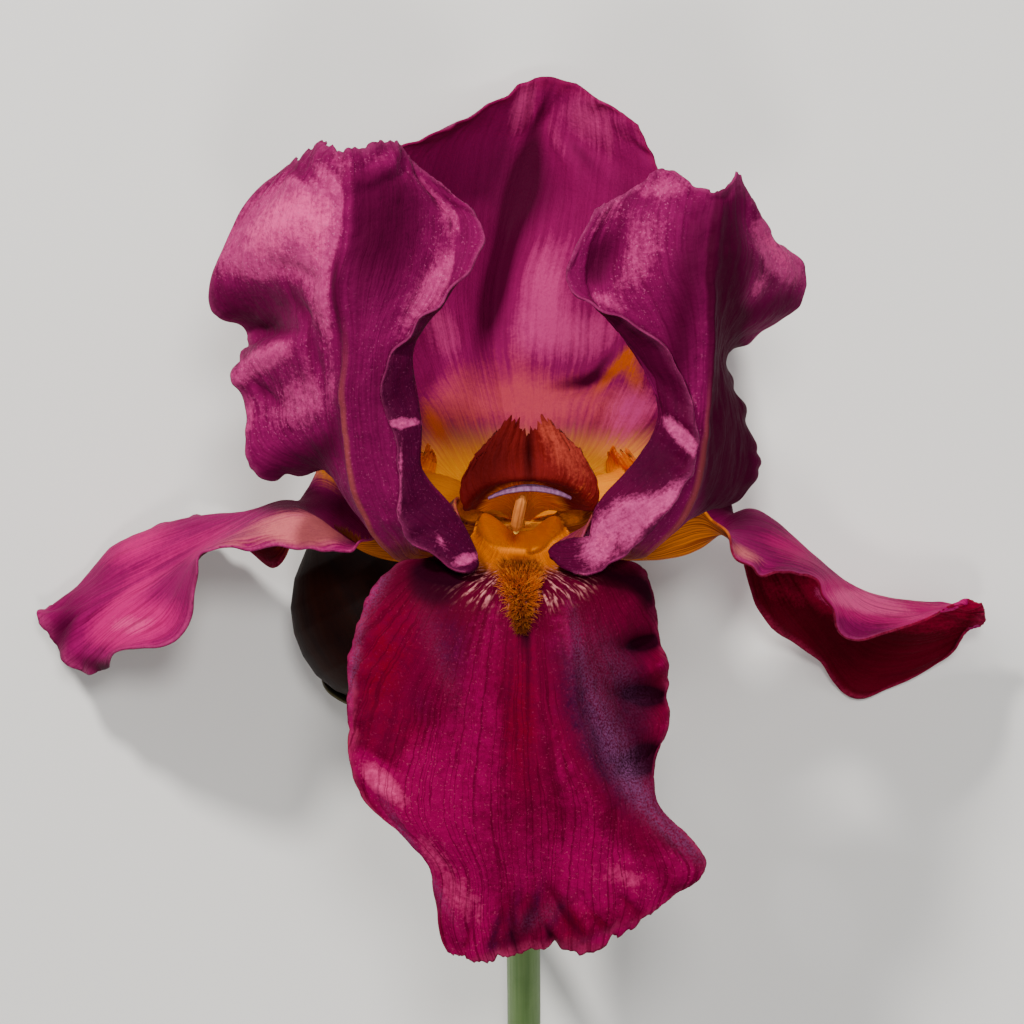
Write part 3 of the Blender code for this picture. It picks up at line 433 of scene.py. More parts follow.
# ------------------------------------------------------------------ meshes
class Bench:
    """Where pieces are made, and the place at which the bloom is set down."""

    def __init__(self) -> None:
        """Start with no place; seat() finds it."""
        self.shift = np.zeros(3)

    def seat(self, node: str, low: np.ndarray) -> None:
        """Find how far the row's frame lies off, from a solid and its lowest corner in the flower's."""
        self.shift = np.array(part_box(node)[0]) / MM - low

    def place(self, points: np.ndarray) -> np.ndarray:
        """Return points of the flower's frame in the row's frame, in metres."""
        return (points + self.shift) * MM

    def grid(self, name: str, points: np.ndarray, u: np.ndarray, v: np.ndarray,
             tones: np.ndarray | None = None) -> bpy.types.Object:
        """Shape a grid primitive into a curved sheet with a map of its places.

        Args:
            name: Name of the piece.
            points: Rows by columns of points.
            u: The place across of each point.
            v: The place along of each point.
            tones: Four tones of each point, where the finish reads them: painted light and shade, violet
                painted shade and hue, painted sheen, and warm hue.

        Returns:
            The new object.
        """
        rows, columns = points.shape[:2]
        bpy.ops.object.select_all(action="DESELECT")
        bpy.ops.mesh.primitive_grid_add(x_subdivisions=columns - 1, y_subdivisions=rows - 1, size=2)
        obj = self.claim(name)
        mesh = obj.data
        flat = np.empty(len(mesh.vertices) * 3)
        mesh.vertices.foreach_get("co", flat)
        flat = flat.reshape(-1, 3)
        column = np.rint((flat[:, 0] + 1) / 2 * (columns - 1)).astype(int)
        row = np.rint((flat[:, 1] + 1) / 2 * (rows - 1)).astype(int)
        mesh.vertices.foreach_set("co", self.place(points[row, column]).ravel())
        corner = np.empty(len(mesh.loops), int)
        mesh.loops.foreach_get("vertex_index", corner)
        places = np.stack([u[row, column], v[row, column]], axis=-1)[corner]
        mesh.uv_layers[0].name = "places"
        mesh.uv_layers[0].data.foreach_set("uv", places.ravel())
        if tones is not None:
            layer = mesh.attributes.new("tones", "FLOAT_COLOR", "POINT")
            layer.data.foreach_set("color", tones[row, column].ravel())
        mesh.update()
        return obj

    def claim(self, name: str) -> bpy.types.Object:
        """Name the active object after what it shows.

        Args:
            name: Name of the piece.

        Returns:
            The object.
        """
        obj = bpy.context.active_object
        obj.name = name + "_skin"
        obj.data.name = obj.name
        return obj

    def thicken(self, obj: bpy.types.Object, thickness: float, second: bool = True) -> None:
        """Give a sheet its thickness, and its far side the second finish.

        Args:
            obj: The sheet.
            thickness: In millimetres.
            second: Whether the far side takes the object's second material.
        """
        solid = obj.modifiers.new("thickness", "SOLIDIFY")
        solid.thickness = thickness * MM
        solid.offset = 0
        solid.use_even_offset = False
        solid.material_offset = 1 if second else 0
        bpy.ops.object.select_all(action="DESELECT")
        obj.select_set(True)
        bpy.context.view_layer.objects.active = obj
        bpy.ops.object.modifier_apply(modifier=solid.name)
        bpy.ops.object.shade_smooth()

    def sheet(self, name: str, slot: str, points: np.ndarray, u: np.ndarray, v: np.ndarray,
              thickness: float, near: bpy.types.Material, far: bpy.types.Material,
              tones: np.ndarray | None = None) -> None:
        """Model a thin sheet with a finish on each side, and dress it.

        Args:
            name: The solid that it replaces.
            slot: The material slot of the record.
            points: Rows by columns of points.
            u: The place across of each point.
            v: The place along of each point.
            thickness: In millimetres.
            near: Finish of the side of its normals.
            far: Finish of the other side.
            tones: Four tones of each point, where the finish reads them: painted light and shade, violet
                painted shade and hue, painted sheen, and warm hue.
        """
        obj = self.grid(name, points, u, v, tones)
        obj.data.materials.append(near)
        obj.data.materials.append(far)
        self.thicken(obj, thickness)
        self.dress(obj, name, slot, near, far)

    def dress(self, obj: bpy.types.Object, node: str, slot: str, *finishes: bpy.types.Material) -> None:
        """Give a piece its finishes and let it stand for a solid.

        Args:
            obj: The piece.
            node: The solid that it replaces.
            slot: Not used.
            finishes: The materials, near side first.
        """
        kept = [polygon.material_index for polygon in obj.data.polygons]
        obj.data.materials.clear()
        for finish in finishes:
            obj.data.materials.append(finish)
        if len(finishes) > 1:
            obj.data.polygons.foreach_set("material_index", kept)
        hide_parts(node)
        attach(obj, "root")
        log.info("%s: %d faces", obj.name, len(obj.data.polygons))


# ------------------------------------------------------------------ finishes
class Graph:
    """Short ways to wire a material."""

    def __init__(self, name: str) -> None:
        """Start a material with its shader.

        Args:
            name: Name of the material.
        """
        self.material = bpy.data.materials.new(name)
        self.material.use_nodes = True
        self.tree = self.material.node_tree
        self.shader = self.tree.nodes["Principled BSDF"]
        self.places = self.tree.nodes.new("ShaderNodeUVMap")
        self.places.uv_map = "places"
        split = self.tree.nodes.new("ShaderNodeSeparateXYZ")
        self.tree.links.new(self.places.outputs[0], split.inputs[0])
        self.u, self.v = split.outputs[0], split.outputs[1]
        self.object = self.tree.nodes.new("ShaderNodeTexCoord").outputs["Object"]

    def put(self, socket: object, value: object) -> None:
        """Link or set one input.

        Args:
            socket: The input.
            value: An output to link, or a plain value.
        """
        if isinstance(value, bpy.types.NodeSocket):
            self.tree.links.new(value, socket)
        else:
            socket.default_value = value

    def math(self, kind: str, a: object, b: object = 0.0, c: object = 0.0) -> object:
        """Add a math node.

        Args:
            kind: Its operation.
            a: Its first value.
            b: Its second value.
            c: Its third value.

        Returns:
            Its output.
        """
        made = self.tree.nodes.new("ShaderNodeMath")
        made.operation = kind
        for socket, value in zip(made.inputs, (a, b, c)):
            self.put(socket, value)
        return made.outputs[0]

    def times(self, a: object, b: object) -> object:
        """Return the product of two values."""
        return self.math("MULTIPLY", a, b)

    def plus(self, a: object, b: object) -> object:
        """Return the sum of two values."""
        return self.math("ADD", a, b)

    def less(self, a: object, b: object) -> object:
        """Return the first value less the second."""
        return self.math("SUBTRACT", a, b)

    def vector(self, x: object, y: object, z: object = 0.0) -> object:
        """Join three numbers into a vector.

        Args:
            x: The first number.
            y: The second.
            z: The third.

        Returns:
            The vector.
        """
        made = self.tree.nodes.new("ShaderNodeCombineXYZ")
        for socket, value in zip(made.inputs, (x, y, z)):
            self.put(socket, value)
        return made.outputs[0]

    def noise(self, vector: object, scale: float, detail: float = 2.0, rough: float = 0.5) -> object:
        """Add a noise texture.

        Args:
            vector: Where it is read.
            scale: Cells in a length of one.
            detail: How many finer noises are added.
            rough: How strong those are.

        Returns:
            The noise's value.
        """
        made = self.tree.nodes.new("ShaderNodeTexNoise")
        self.put(made.inputs["Vector"], vector)
        made.inputs["Scale"].default_value = scale
        made.inputs["Detail"].default_value = detail
        made.inputs["Roughness"].default_value = rough
        return made.outputs["Fac"]

    def streaks(self, u: object, v: object, across: float, along: float, detail: float,
                rough: float = 0.5) -> object:
        """Return a noise drawn out along a piece, by its cells across and along it."""
        return self.noise(self.vector(self.times(u, across), self.times(v, along)), 1.0, detail, rough)

    def ramp(self, value: object, stops: Sequence[tuple[float, object]]) -> object:
        """Map a value to colours or greys through stops.

        Args:
            value: What is mapped.
            stops: Places with a grey or a colour each.

        Returns:
            The ramp's output.
        """
        made = self.tree.nodes.new("ShaderNodeValToRGB")
        self.put(made.inputs[0], value)
        keys = made.color_ramp.elements
        while len(keys) < len(stops):
            keys.new(0.5)
        for key, (place, shade) in zip(keys, stops):
            key.position = place
        for key, (place, shade) in zip(keys, stops):
            key.color = (shade, shade, shade, 1) if isinstance(shade, (int, float)) else (*shade, 1)
        return made.outputs[0]

    def blend(self, share: object, a: object, b: object) -> object:
        """Mix two colours.

        Args:
            share: 0 for the first colour, 1 for the second.
            a: The first.
            b: The second.

        Returns:
            The mixed colour.
        """
        made = self.tree.nodes.new("ShaderNodeMix")
        made.data_type = "RGBA"
        self.put(made.inputs[0], share)
        for socket, value in ((made.inputs[6], a), (made.inputs[7], b)):
            self.put(socket, (*value, 1) if isinstance(value, tuple) else value)
        return made.outputs[2]

    def band(self, value: object, low: float, high: float, soft: float) -> object:
        """Pick out a range of a value, falling off softly outside it.

        Args:
            value: The value.
            low: Start of the range.
            high: End of the range.
            soft: How far it takes to fall to 0.

        Returns:
            1 in the range, 0 well outside it.
        """
        up = self.step(value, low - soft, low)
        down = self.step(value, high + soft, high)
        return self.times(up, down)

    def step(self, value: object, start: float, end: float) -> object:
        """Add a smooth rise.

        Args:
            value: What is read.
            start: Where it is 0, above the end for a fall.
            end: Where it is 1.

        Returns:
            The rise, 0 to 1.
        """
        made = self.tree.nodes.new("ShaderNodeMapRange")
        made.interpolation_type = "SMOOTHSTEP"
        turned = start > end
        low, high = (end, start) if turned else (start, end)
        self.put(made.inputs[0], value)
        made.inputs[1].default_value = low
        made.inputs[2].default_value = high
        made.inputs[3].default_value = 1.0 if turned else 0.0
        made.inputs[4].default_value = 0.0 if turned else 1.0
        return made.outputs[0]

    def clip(self, value: object) -> object:
        """Return the value held between 0 and 1."""
        return self.math("MINIMUM", self.math("MAXIMUM", value, 0.0), 1.0)

    def tones(self) -> list[object]:
        """Read the tones stored on the petal.

        Returns:
            The four tones: painted light and shade, violet painted shade and hue, painted sheen, and warm
                hue.
        """
        made = self.tree.nodes.new("ShaderNodeAttribute")
        made.attribute_name = "tones"
        split = self.tree.nodes.new("ShaderNodeSeparateXYZ")
        self.tree.links.new(made.outputs["Vector"], split.inputs[0])
        return [*split.outputs, made.outputs["Alpha"]]

    def middle(self) -> object:
        """Return the distance across from the midrib, 0 to 0.5."""
        return self.math("ABSOLUTE", self.less(self.u, 0.5))

    def bump(self, height: object, strength: float, distance: float) -> None:
        """Give the shader a bump.

        Args:
            height: The relief, 0 to 1.
            strength: How much of it shows.
            distance: Its height in millimetres.
        """
        made = self.tree.nodes.new("ShaderNodeBump")
        made.inputs["Strength"].default_value = strength
        made.inputs["Distance"].default_value = distance * MM
        self.put(made.inputs["Height"], height)
        self.put(self.shader.inputs["Normal"], made.outputs[0])

    def surface(self, roughness: float, sheen: float = 0.0, tint: Colour = (1, 1, 1), spread: float = 0.4,
                specular: float = 0.35) -> None:
        """Set the even values of the shader.

        Args:
            roughness: How matt it is.
            sheen: How velvety.
            tint: Colour of the velvet's shine.
            spread: Roughness of the velvet's shine.
            specular: Level of the plain reflection.
        """
        self.shader.inputs["Roughness"].default_value = roughness
        self.shader.inputs["Sheen Weight"].default_value = sheen
        self.shader.inputs["Sheen Tint"].default_value = (*tint, 1)
        self.shader.inputs["Sheen Roughness"].default_value = spread
        self.shader.inputs["Specular IOR Level"].default_value = specular


@dataclass(frozen=True)
class PetalFinish:
    """The skin of one side of a petal."""

    name: str
    lit: Colour
    deep: Colour
    edge: Colour
    throat: Colour
    throat_vein: Colour
    throat_end: float
    throat_soft: float = 0.12
    veins: float = 70.0
    vein_strength: float = 0.55
    lines: float = 0.0
    line: Colour = (0.055, 0.0002, 0.008)
    # Painted light: the colour where the tones rise above 0.
    painted_light: Colour = (0.75, 0.022, 0.20)
    # Painted shade: the colour where the tones fall below 0.
    shade: Colour = (0.045, 0.0003, 0.014)
    # Violet painted shade on curled margins and recesses; the back standard uses it for a salmon hue of its
    # own.
    hue_and_shade: Colour = (0.048, 0.0004, 0.024)
    # Bloom: painted sheen and painted highlight, from the third tone.
    bloom: Colour = (0.14, 0.05, 0.20)
    warm: Colour = (0.24, 0.001, 0.012)
    sheen: float = 0.02
    tint: Colour = (1.0, 0.55, 0.75)
    spread: float = 0.35
    roughness: float = 0.55
    grain: float = 0.8
    midrib: Colour | None = None
    midrib_end: float = 0.6
    # Painted highlight: the colour where the tones rise above 1.
    painted_highlight: Colour = (0.80, 0.070, 0.28)
    stripe: Colour | None = None
    wander: float = 0.035
    # Strength of the painted glints on the velvet, in the edge colour.
    painted_glints: float = 0.25
    grains: float = 0.40
    streaks: float = 0.40
    fan: float = 0.45
    rim: float = 0.6
    gloss: float = 0.02
    fringe: float = 0.10
    # Brighter yellow painted deep in the throat, as painted light where it lies in shade.
    pit_painted_light: Colour | None = None
    pit_end: float = 0.10
    mottle: float = 0.35
    crumple: float = 0.5
    spots: bool = False

    def make(self) -> bpy.types.Material:
        """Wire the material.

        Returns:
            The material.
        """
        g = Graph(self.name)
        wander = g.streaks(g.u, g.v, 6.0, 5.0, 2.0)
        bent = g.plus(g.u, g.times(g.less(wander, 0.5), self.wander))
        straight = bent
        spread = g.math("POWER", g.math("MAXIMUM", g.v, 0.10), self.fan)
        bent = g.plus(0.5, g.math("DIVIDE", g.less(bent, 0.5), spread))
        lines = g.streaks(bent, g.v, self.veins, 2.6, 3.0, 0.6)
        vein = g.ramp(lines, [(0.34, 0.0), (0.46, 0.45), (0.58, 0.8), (0.72, 1.0)])
        cloud = g.noise(g.object, CLOUD, 4.0, 0.6)
        fleck = g.noise(g.object, FLECK, 3.0, 0.6)
        speck = g.noise(g.object, SPECK, 2.0, 0.7)
        speck = g.plus(g.times(speck, 1 - self.mottle), g.times(fleck, self.mottle))
        # Tones: painted light and shade, violet painted shade and hue, painted sheen, warm hue.
        tone, hue_and_shade, bloom, warm = g.tones()
        share = g.plus(g.times(vein, self.vein_strength),
                       g.times(g.less(cloud, 0.5), 0.9))
        share = g.plus(share, 0.95 - self.vein_strength)
        share = g.plus(share, g.times(g.less(speck, 0.5), 0.8))
        skin = g.blend(g.ramp(share, [(0.0, 0.0), (1.0, 1.0)]), self.deep, self.lit)
        side = g.math("MINIMUM", g.u, g.less(1.0, g.u))
        rim = g.math("MINIMUM", side, g.less(1.0, g.v))
        rim = g.plus(rim, g.times(g.less(cloud, 0.5), 0.06))
        broken = g.times(g.ramp(speck, [(0.36, 0.25), (0.60, 1.0)]), self.rim)
        skin = g.blend(g.times(g.step(rim, 0.03, 0.0), broken), skin, self.edge)
        hues = g.streaks(bent, g.v, 45.0, 4.0, 2.0)
        throat = g.blend(g.ramp(hues, [(0.42, 0.0), (0.62, 1.0)]), self.throat, self.throat_vein)
        if self.stripe is not None:
            throat = g.blend(g.times(g.step(g.middle(), 0.13, 0.02), 0.85), throat, self.stripe)
        # Painted light: brighter yellow in the throat's pit, which lies in shade.
        if self.pit_painted_light is not None:
            throat = g.blend(g.step(g.v, self.pit_end + 0.05, self.pit_end), throat, self.pit_painted_light)
        reach = g.plus(g.v, g.times(g.less(hues, 0.5), self.fringe))
        skin = g.blend(g.step(reach, self.throat_end + self.throat_soft, self.throat_end), skin, throat)
        if self.midrib is not None:
            line = g.step(g.middle(), 0.020, 0.004)
            fade = g.step(g.v, self.midrib_end, self.midrib_end - 0.25)
            skin = g.blend(g.times(g.times(line, fade), 0.55), skin, self.midrib)
        if self.spots:
            skin = self.signal(g, skin, straight)
        skin = g.blend(self.speckled(g, warm, speck, lines), skin, self.warm)
        # Violet painted shade, and on the back standard its own salmon hue.
        skin = g.blend(self.speckled(g, hue_and_shade, speck, lines), skin, self.hue_and_shade)
        # Painted light where the tone is above 0, and a painted highlight where it is above 1.
        skin = g.blend(self.speckled(g, tone, speck, lines), skin, self.painted_light)
        skin = g.blend(self.speckled(g, g.less(tone, 1.0), speck, lines), skin, self.painted_highlight)
        if self.lines:
            clear = g.times(g.step(g.v, self.throat_end, self.throat_end + self.throat_soft), self.lines)
            skin = g.blend(g.times(self.threads(g, bent), clear), skin, self.line)
        # Painted shade where the tone is below 0.
        skin = g.blend(g.clip(g.times(tone, -1.0)), skin, self.shade)
        # Painted sheen and highlight from the third tone, in fine dots on the front fall.
        fine = g.noise(g.object, SHEEN_DOT, 2.0, 0.6)
        painted_sheen_share = g.times(g.clip(bloom), g.ramp(fine, [(0.38, 0.10), (0.64, 1.0)]))
        if not self.spots:
            painted_sheen_share = self.speckled(g, bloom, speck, lines)
        skin = g.blend(painted_sheen_share, skin, self.bloom)
        # Painted glints of the velvet in the edge colour, stronger where the painted light is.
        painted_glint = g.ramp(g.noise(g.object, SPARK, 1.0), [(0.64, 0.0), (0.72, 1.0)])
        lively = g.clip(g.plus(g.times(tone, 0.6), 0.30))
        painted_glint = g.times(painted_glint, g.times(lively, self.painted_glints))
        skin = g.blend(g.times(painted_glint, g.step(g.v, 0.15, 0.3)), skin, self.edge)
        g.put(g.shader.inputs["Base Color"], skin)
        coarse = g.noise(g.object, COARSE, 2.0)
        relief = g.plus(g.times(speck, self.grain),
                        g.plus(g.times(coarse, self.crumple), g.times(lines, 0.9)))
        g.bump(relief, 0.6, 0.4)
        g.surface(self.roughness, self.sheen, self.tint, self.spread, self.gloss)
        return g.material

    def speckled(self, g: Graph, tone: object, speck: object, lines: object) -> object:
        """Break a tone into grains and streaks where it is weak.

        Args:
            g: The material so far.
            tone: The tone, 0 for none and 1 for full.
            speck: Noise of the grains.
            lines: Noise of the streaks.

        Returns:
            The share of the tone's colour.
        """
        grain = g.ramp(speck, [(0.36, 0.0), (0.62, 1.0)])
        streak = g.ramp(lines, [(0.36, 0.0), (0.64, 1.0)])
        gap = g.plus(g.times(grain, self.grains), g.times(streak, self.streaks))
        reach = self.grains + self.streaks
        blotch = g.times(g.less(g.noise(g.object, BLOTCH, 3.0, 0.6), 0.5), 1.6 * self.mottle)
        lowered = g.less(g.times(tone, 0.8 + reach), g.less(reach, gap))
        shown = g.math("MINIMUM", g.clip(g.plus(lowered, blotch)), g.times(g.clip(tone), 1.4))
        # Break the share into grains; this mottles the painted light, shade and sheen too.
        grain_breakup = g.ramp(speck, [(0.34, 1 - self.grains), (0.60, 1.0)])
        return g.clip(g.times(g.clip(shown), grain_breakup))

    def threads(self, g: Graph, bent: object) -> object:
        """Draw thin wandering lines along the petal, where a slow noise crosses its middle.

        Args:
            g: The material so far.
            bent: The wandering place across.

        Returns:
            1 on the lines, 0 between them.
        """
        drawn: object = 0.0
        for across, along in ((15.0, 0.6), (27.0, 0.9)):
            slow = g.streaks(bent, g.v, across, along, 1.0)
            off = g.math("ABSOLUTE", g.less(slow, 0.5))
            drawn = g.math("MAXIMUM", drawn, g.step(off, 0.020, 0.0))
        return drawn

    def signal(self, g: Graph, skin: object, bent: object) -> object:
        """Add the pale streaks on a dark ground beside the beard.

        Args:
            g: The material so far.
            skin: Its colour so far.
            bent: The wandering place across.

        Returns:
            The colour with the streaks.
        """
        off = g.middle()
        down = g.less(g.v, 0.19)
        angle = g.math("DIVIDE", g.less(bent, 0.5), g.plus(down, 0.10))
        ground = g.times(g.band(g.v, 0.26, 0.34, 0.07), g.step(off, 0.03, 0.07))
        skin = g.blend(g.times(ground, 0.5), skin, (0.045, 0.001, 0.006))
        streak = g.streaks(angle, down, 19.0, 26.0, 1.0, 0.5)
        shown = g.times(g.ramp(streak, [(0.52, 0.0), (0.62, 1.0)]), g.band(g.v, 0.236, 0.315, 0.04))
        shown = g.times(shown, g.ramp(g.noise(g.object, GRIT, 1.0), [(0.38, 0.15), (0.58, 1.0)]))
        shown = g.times(shown, g.band(off, 0.05, 0.25, 0.10))
        return g.blend(g.times(shown, 0.75), skin, (0.62, 0.22, 0.22))


@dataclass(frozen=True)
class PlainFinish:
    """An organ's skin: two colours in streaks along it, with an optional change toward its tip."""

    name: str
    first: Colour
    second: Colour
    streaks: float = 30.0
    along: float = 2.0
    tip: Colour | None = None
    tip_from: float = 0.6
    roughness: float = 0.5
    sheen: float = 0.0
    bumps: float = 0.2
    specular: float = 0.35

    def make(self) -> bpy.types.Material:
        """Wire the material.

        Returns:
            The material.
        """
        g = Graph(self.name)
        lines = g.streaks(g.u, g.v, self.streaks, self.along, 3.0)
        cloud = g.noise(g.object, MOTTLE, 2.0)
        share = g.plus(g.times(lines, 0.7), g.times(cloud, 0.3))
        skin = g.blend(g.ramp(share, [(0.36, 0.0), (0.62, 1.0)]), self.first, self.second)
        if self.tip is not None:
            skin = g.blend(g.step(g.v, self.tip_from, 1.0), skin, self.tip)
        g.put(g.shader.inputs["Base Color"], skin)
        g.bump(g.plus(lines, g.times(g.noise(g.object, PORE), 0.4)), 0.5, self.bumps)
        g.surface(self.roughness, self.sheen, specular=self.specular)
        return g.material


@dataclass(frozen=True)
class BeardFinish:
    """Hairs that are dark at the root and bright at the tip, darker toward the tuft's end."""

    name: str
    core: Colour
    root: Colour
    tip: Colour

    def make(self) -> bpy.types.Material:
        """Wire the material.

        Returns:
            The material.
        """
        g = Graph(self.name)
        skin = g.blend(g.step(g.v, 0.05, 0.55), self.root, self.core)
        strand = g.noise(g.object, STRAND, 1.0)
        bright = g.times(g.step(g.v, 0.55, 1.0), g.ramp(strand, [(0.48, 0.10), (0.62, 1.0)]))
        skin = g.blend(bright, skin, self.tip)
        first = g.less(1.0, g.step(g.u, 0.10, 0.50))
        skin = g.blend(g.times(first, 0.60), skin, self.root)
        skin = g.blend(g.times(g.step(g.u, 0.62, 1.0), 0.85), skin, self.root)
        g.put(g.shader.inputs["Base Color"], skin)
        g.surface(0.6, specular=0.15)
        return g.material


# ------------------------------------------------------------------ petals
@dataclass(frozen=True)
class Patch:
    """A soft oval on a petal, at a place seen from above: a fold's height, or a tone's strength, mostly of
    painted light and shade.
    """

    x: float
    y: float
    turn: float
    length: float
    width: float
    amount: float
    start: float = 0.0
    end: float = 1.0
    sharp: float = 1.0

    def weight(self, points: np.ndarray, u: np.ndarray) -> np.ndarray:
        """Spread the amount over a petal.

        Args:
            points: The petal's points, in millimetres.
            u: Their places across.

        Returns:
            The amount at each point.
        """
        turn = math.radians(self.turn)
        dx, dy = points[..., 0] - self.x, points[..., 1] - self.y
        along = dx * math.cos(turn) + dy * math.sin(turn)
        across = -dx * math.sin(turn) + dy * math.cos(turn)
        spread = np.exp(-(((along / self.length) ** 2 + (across / self.width) ** 2) ** self.sharp))
        inside = np.clip((u - self.start) * 70 + 0.5, 0, 1) * np.clip((self.end - u) * 70 + 0.5, 0, 1)
        return self.amount * spread * inside


def patches(*rows: tuple[float, ...]) -> tuple[Patch, ...]:
    """Make patches, each from its values in the order of the fields of Patch."""
    return tuple(Patch(*row) for row in rows)


def tone_layers(groups: Sequence[tuple[Patch, ...]], points: np.ndarray, u: np.ndarray) -> np.ndarray:
    """Return each group of patches added up into one tone, along a new last axis."""
    return np.stack([sum((patch.weight(points, u) for patch in group), 0 * u) for group in groups], axis=-1)


@dataclass(frozen=True)
class Margin:
    """How a petal's edge is ruffled and toothed."""

    ruffle: float = 0.5
    waves: float = 16.0
    teeth: float = 0.006
    tooth_count: float = 90.0
    tip_teeth: float = 0.010


@dataclass
class Petal:
    """One petal, as a thin sheet through its ribs."""

    name: str
    ribs: list[Rib]
    slot: str
    rows: int
    columns: int
    seed: int
    thickness: float = 0.42
    margin: Margin = field(default_factory=Margin)
    folds: tuple[Patch, ...] = ()
    # Patches of painted light (above 0) and painted shade (below 0).
    tones: tuple[Patch, ...] = ()
    # Patches of violet painted shade; on the back standard, of its salmon hue.
    hue_and_shade_patches: tuple[Patch, ...] = ()
    # Patches of painted sheen and painted highlight.
    painted_sheen_patches: tuple[Patch, ...] = ()
    warms: tuple[Patch, ...] = ()
    middle: float = 0.5
    keels: tuple[tuple[float, float, float], ...] = ()
    notches: tuple[tuple[float, float, float], ...] = ()
    vein_height: float = 0.05
    crinkle: float = 0.06
    billow: float = 0.22
    side: float = 1.0

    def build(self, bench: Bench, near: bpy.types.Material, far: bpy.types.Material) -> None:
        """Model the petal and dress it.

        Args:
            bench: Where it is made.
            near: Finish of the side of its normals.
            far: Finish of the other side.
        """
        u, v = lattice(self.rows, self.columns)
        points = self.relief(Surface(self.ribs), u, v)
        tones = tone_layers((self.tones, self.hue_and_shade_patches, self.painted_sheen_patches, self.warms), points, u)
        across = np.interp(u, (0, self.middle, 1), (0, 0.5, 1))
        bench.sheet(self.name, self.slot, points, across, v, self.thickness, near, far, tones)

    def jagged(self, at: np.ndarray, count: float, side: int) -> np.ndarray:
        """Cut the margin in fine teeth on broader ones.

        Args:
            at: Places along the margin.
            count: Fine teeth along it.
            side: Which margin.

        Returns:
            How deep it is cut, 0 to 1.
        """
        fine = ripple(at, at * 0, count, 1, self.seed + side)
        broad = ripple(at, at * 0, count * 0.3, 1, self.seed + side + 60)
        return 0.5 + 0.28 * fine + 0.32 * broad

    def relief(self, surface: Surface, u: np.ndarray, v: np.ndarray) -> np.ndarray:
        """Tooth the margin and press veins, ruffles and folds into the surface.

        Args:
            surface: The smooth petal.
            u: Places across.
            v: Places along.

        Returns:
            The finished points.
        """
        m = self.margin
        left = m.teeth * self.jagged(v, m.tooth_count, 0) * np.clip(v * 4, 0, 1)
        right = m.teeth * self.jagged(v, m.tooth_count, 1) * np.clip(v * 4, 0, 1)
        top = m.tip_teeth * self.jagged(u, m.tooth_count * 0.8, 2)
        for place, depth, width in self.notches:
            top = top + depth * np.exp(-(((u - place) / width) ** 2))
        a = left + u * (1 - left - right)
        b = v * (1 - top * np.clip((v - 0.6) / 0.4, 0, 1) ** 2)
        points = surface.at(a, b)
        normal = surface.normal(a, b)
        edge = np.minimum(np.minimum(u, 1 - u) * 2, (1 - v) * 1.6)
        frill = np.exp(-((edge / 0.16) ** 2)) * np.clip(v * 5 - 0.6, 0, 1)
        around_edge = np.where(u < 0.5, v, 2.4 - v) + 0.35 * (u - 0.5) * np.exp(-(((1 - v) / 0.15) ** 2))
        wave = np.sin(2 * math.pi * m.waves * around_edge + 5 * ripple(v, u, 9, 3, self.seed + 3))
        small = ripple(around_edge / 2.4, edge, m.waves * 7, 3, self.seed + 4)
        lift = m.ruffle * frill * (0.6 * wave + 0.8 * small)
        lift += self.vein_height * ripple(u, v, 60, 4, self.seed + 5) * np.clip(v * 6, 0, 1)
        lift += self.billow * ripple(u, v, 11, 9, self.seed + 6) * np.clip(v * 4 - 0.4, 0, 1)
        inner = np.clip(v * 4 - 0.4, 0, 1)
        lift += self.crinkle * ripple(u + 0.4 * v, v - 0.35 * u, 15, 27, self.seed + 7) * inner
        lift += 0.55 * self.crinkle * ripple(u - 0.3 * v, v + 0.45 * u, 36, 44, self.seed + 8) * inner
        for fold in self.folds:
            lift += fold.weight(points, u)
        for place, width, height in self.keels:
            lift += height * np.exp(-(np.abs((u - place) / width) ** 1.3)) * np.clip(v * 4 - 0.5, 0, 1)
        points = points + self.side * lift[..., None] * normal
        low = self.thickness * 0.6
        points[..., 2] = low + np.where(points[..., 2] > low + 2, points[..., 2] - low,
                                        2 * np.exp(np.minimum(points[..., 2] - low - 2, 0) / 2))
        return points


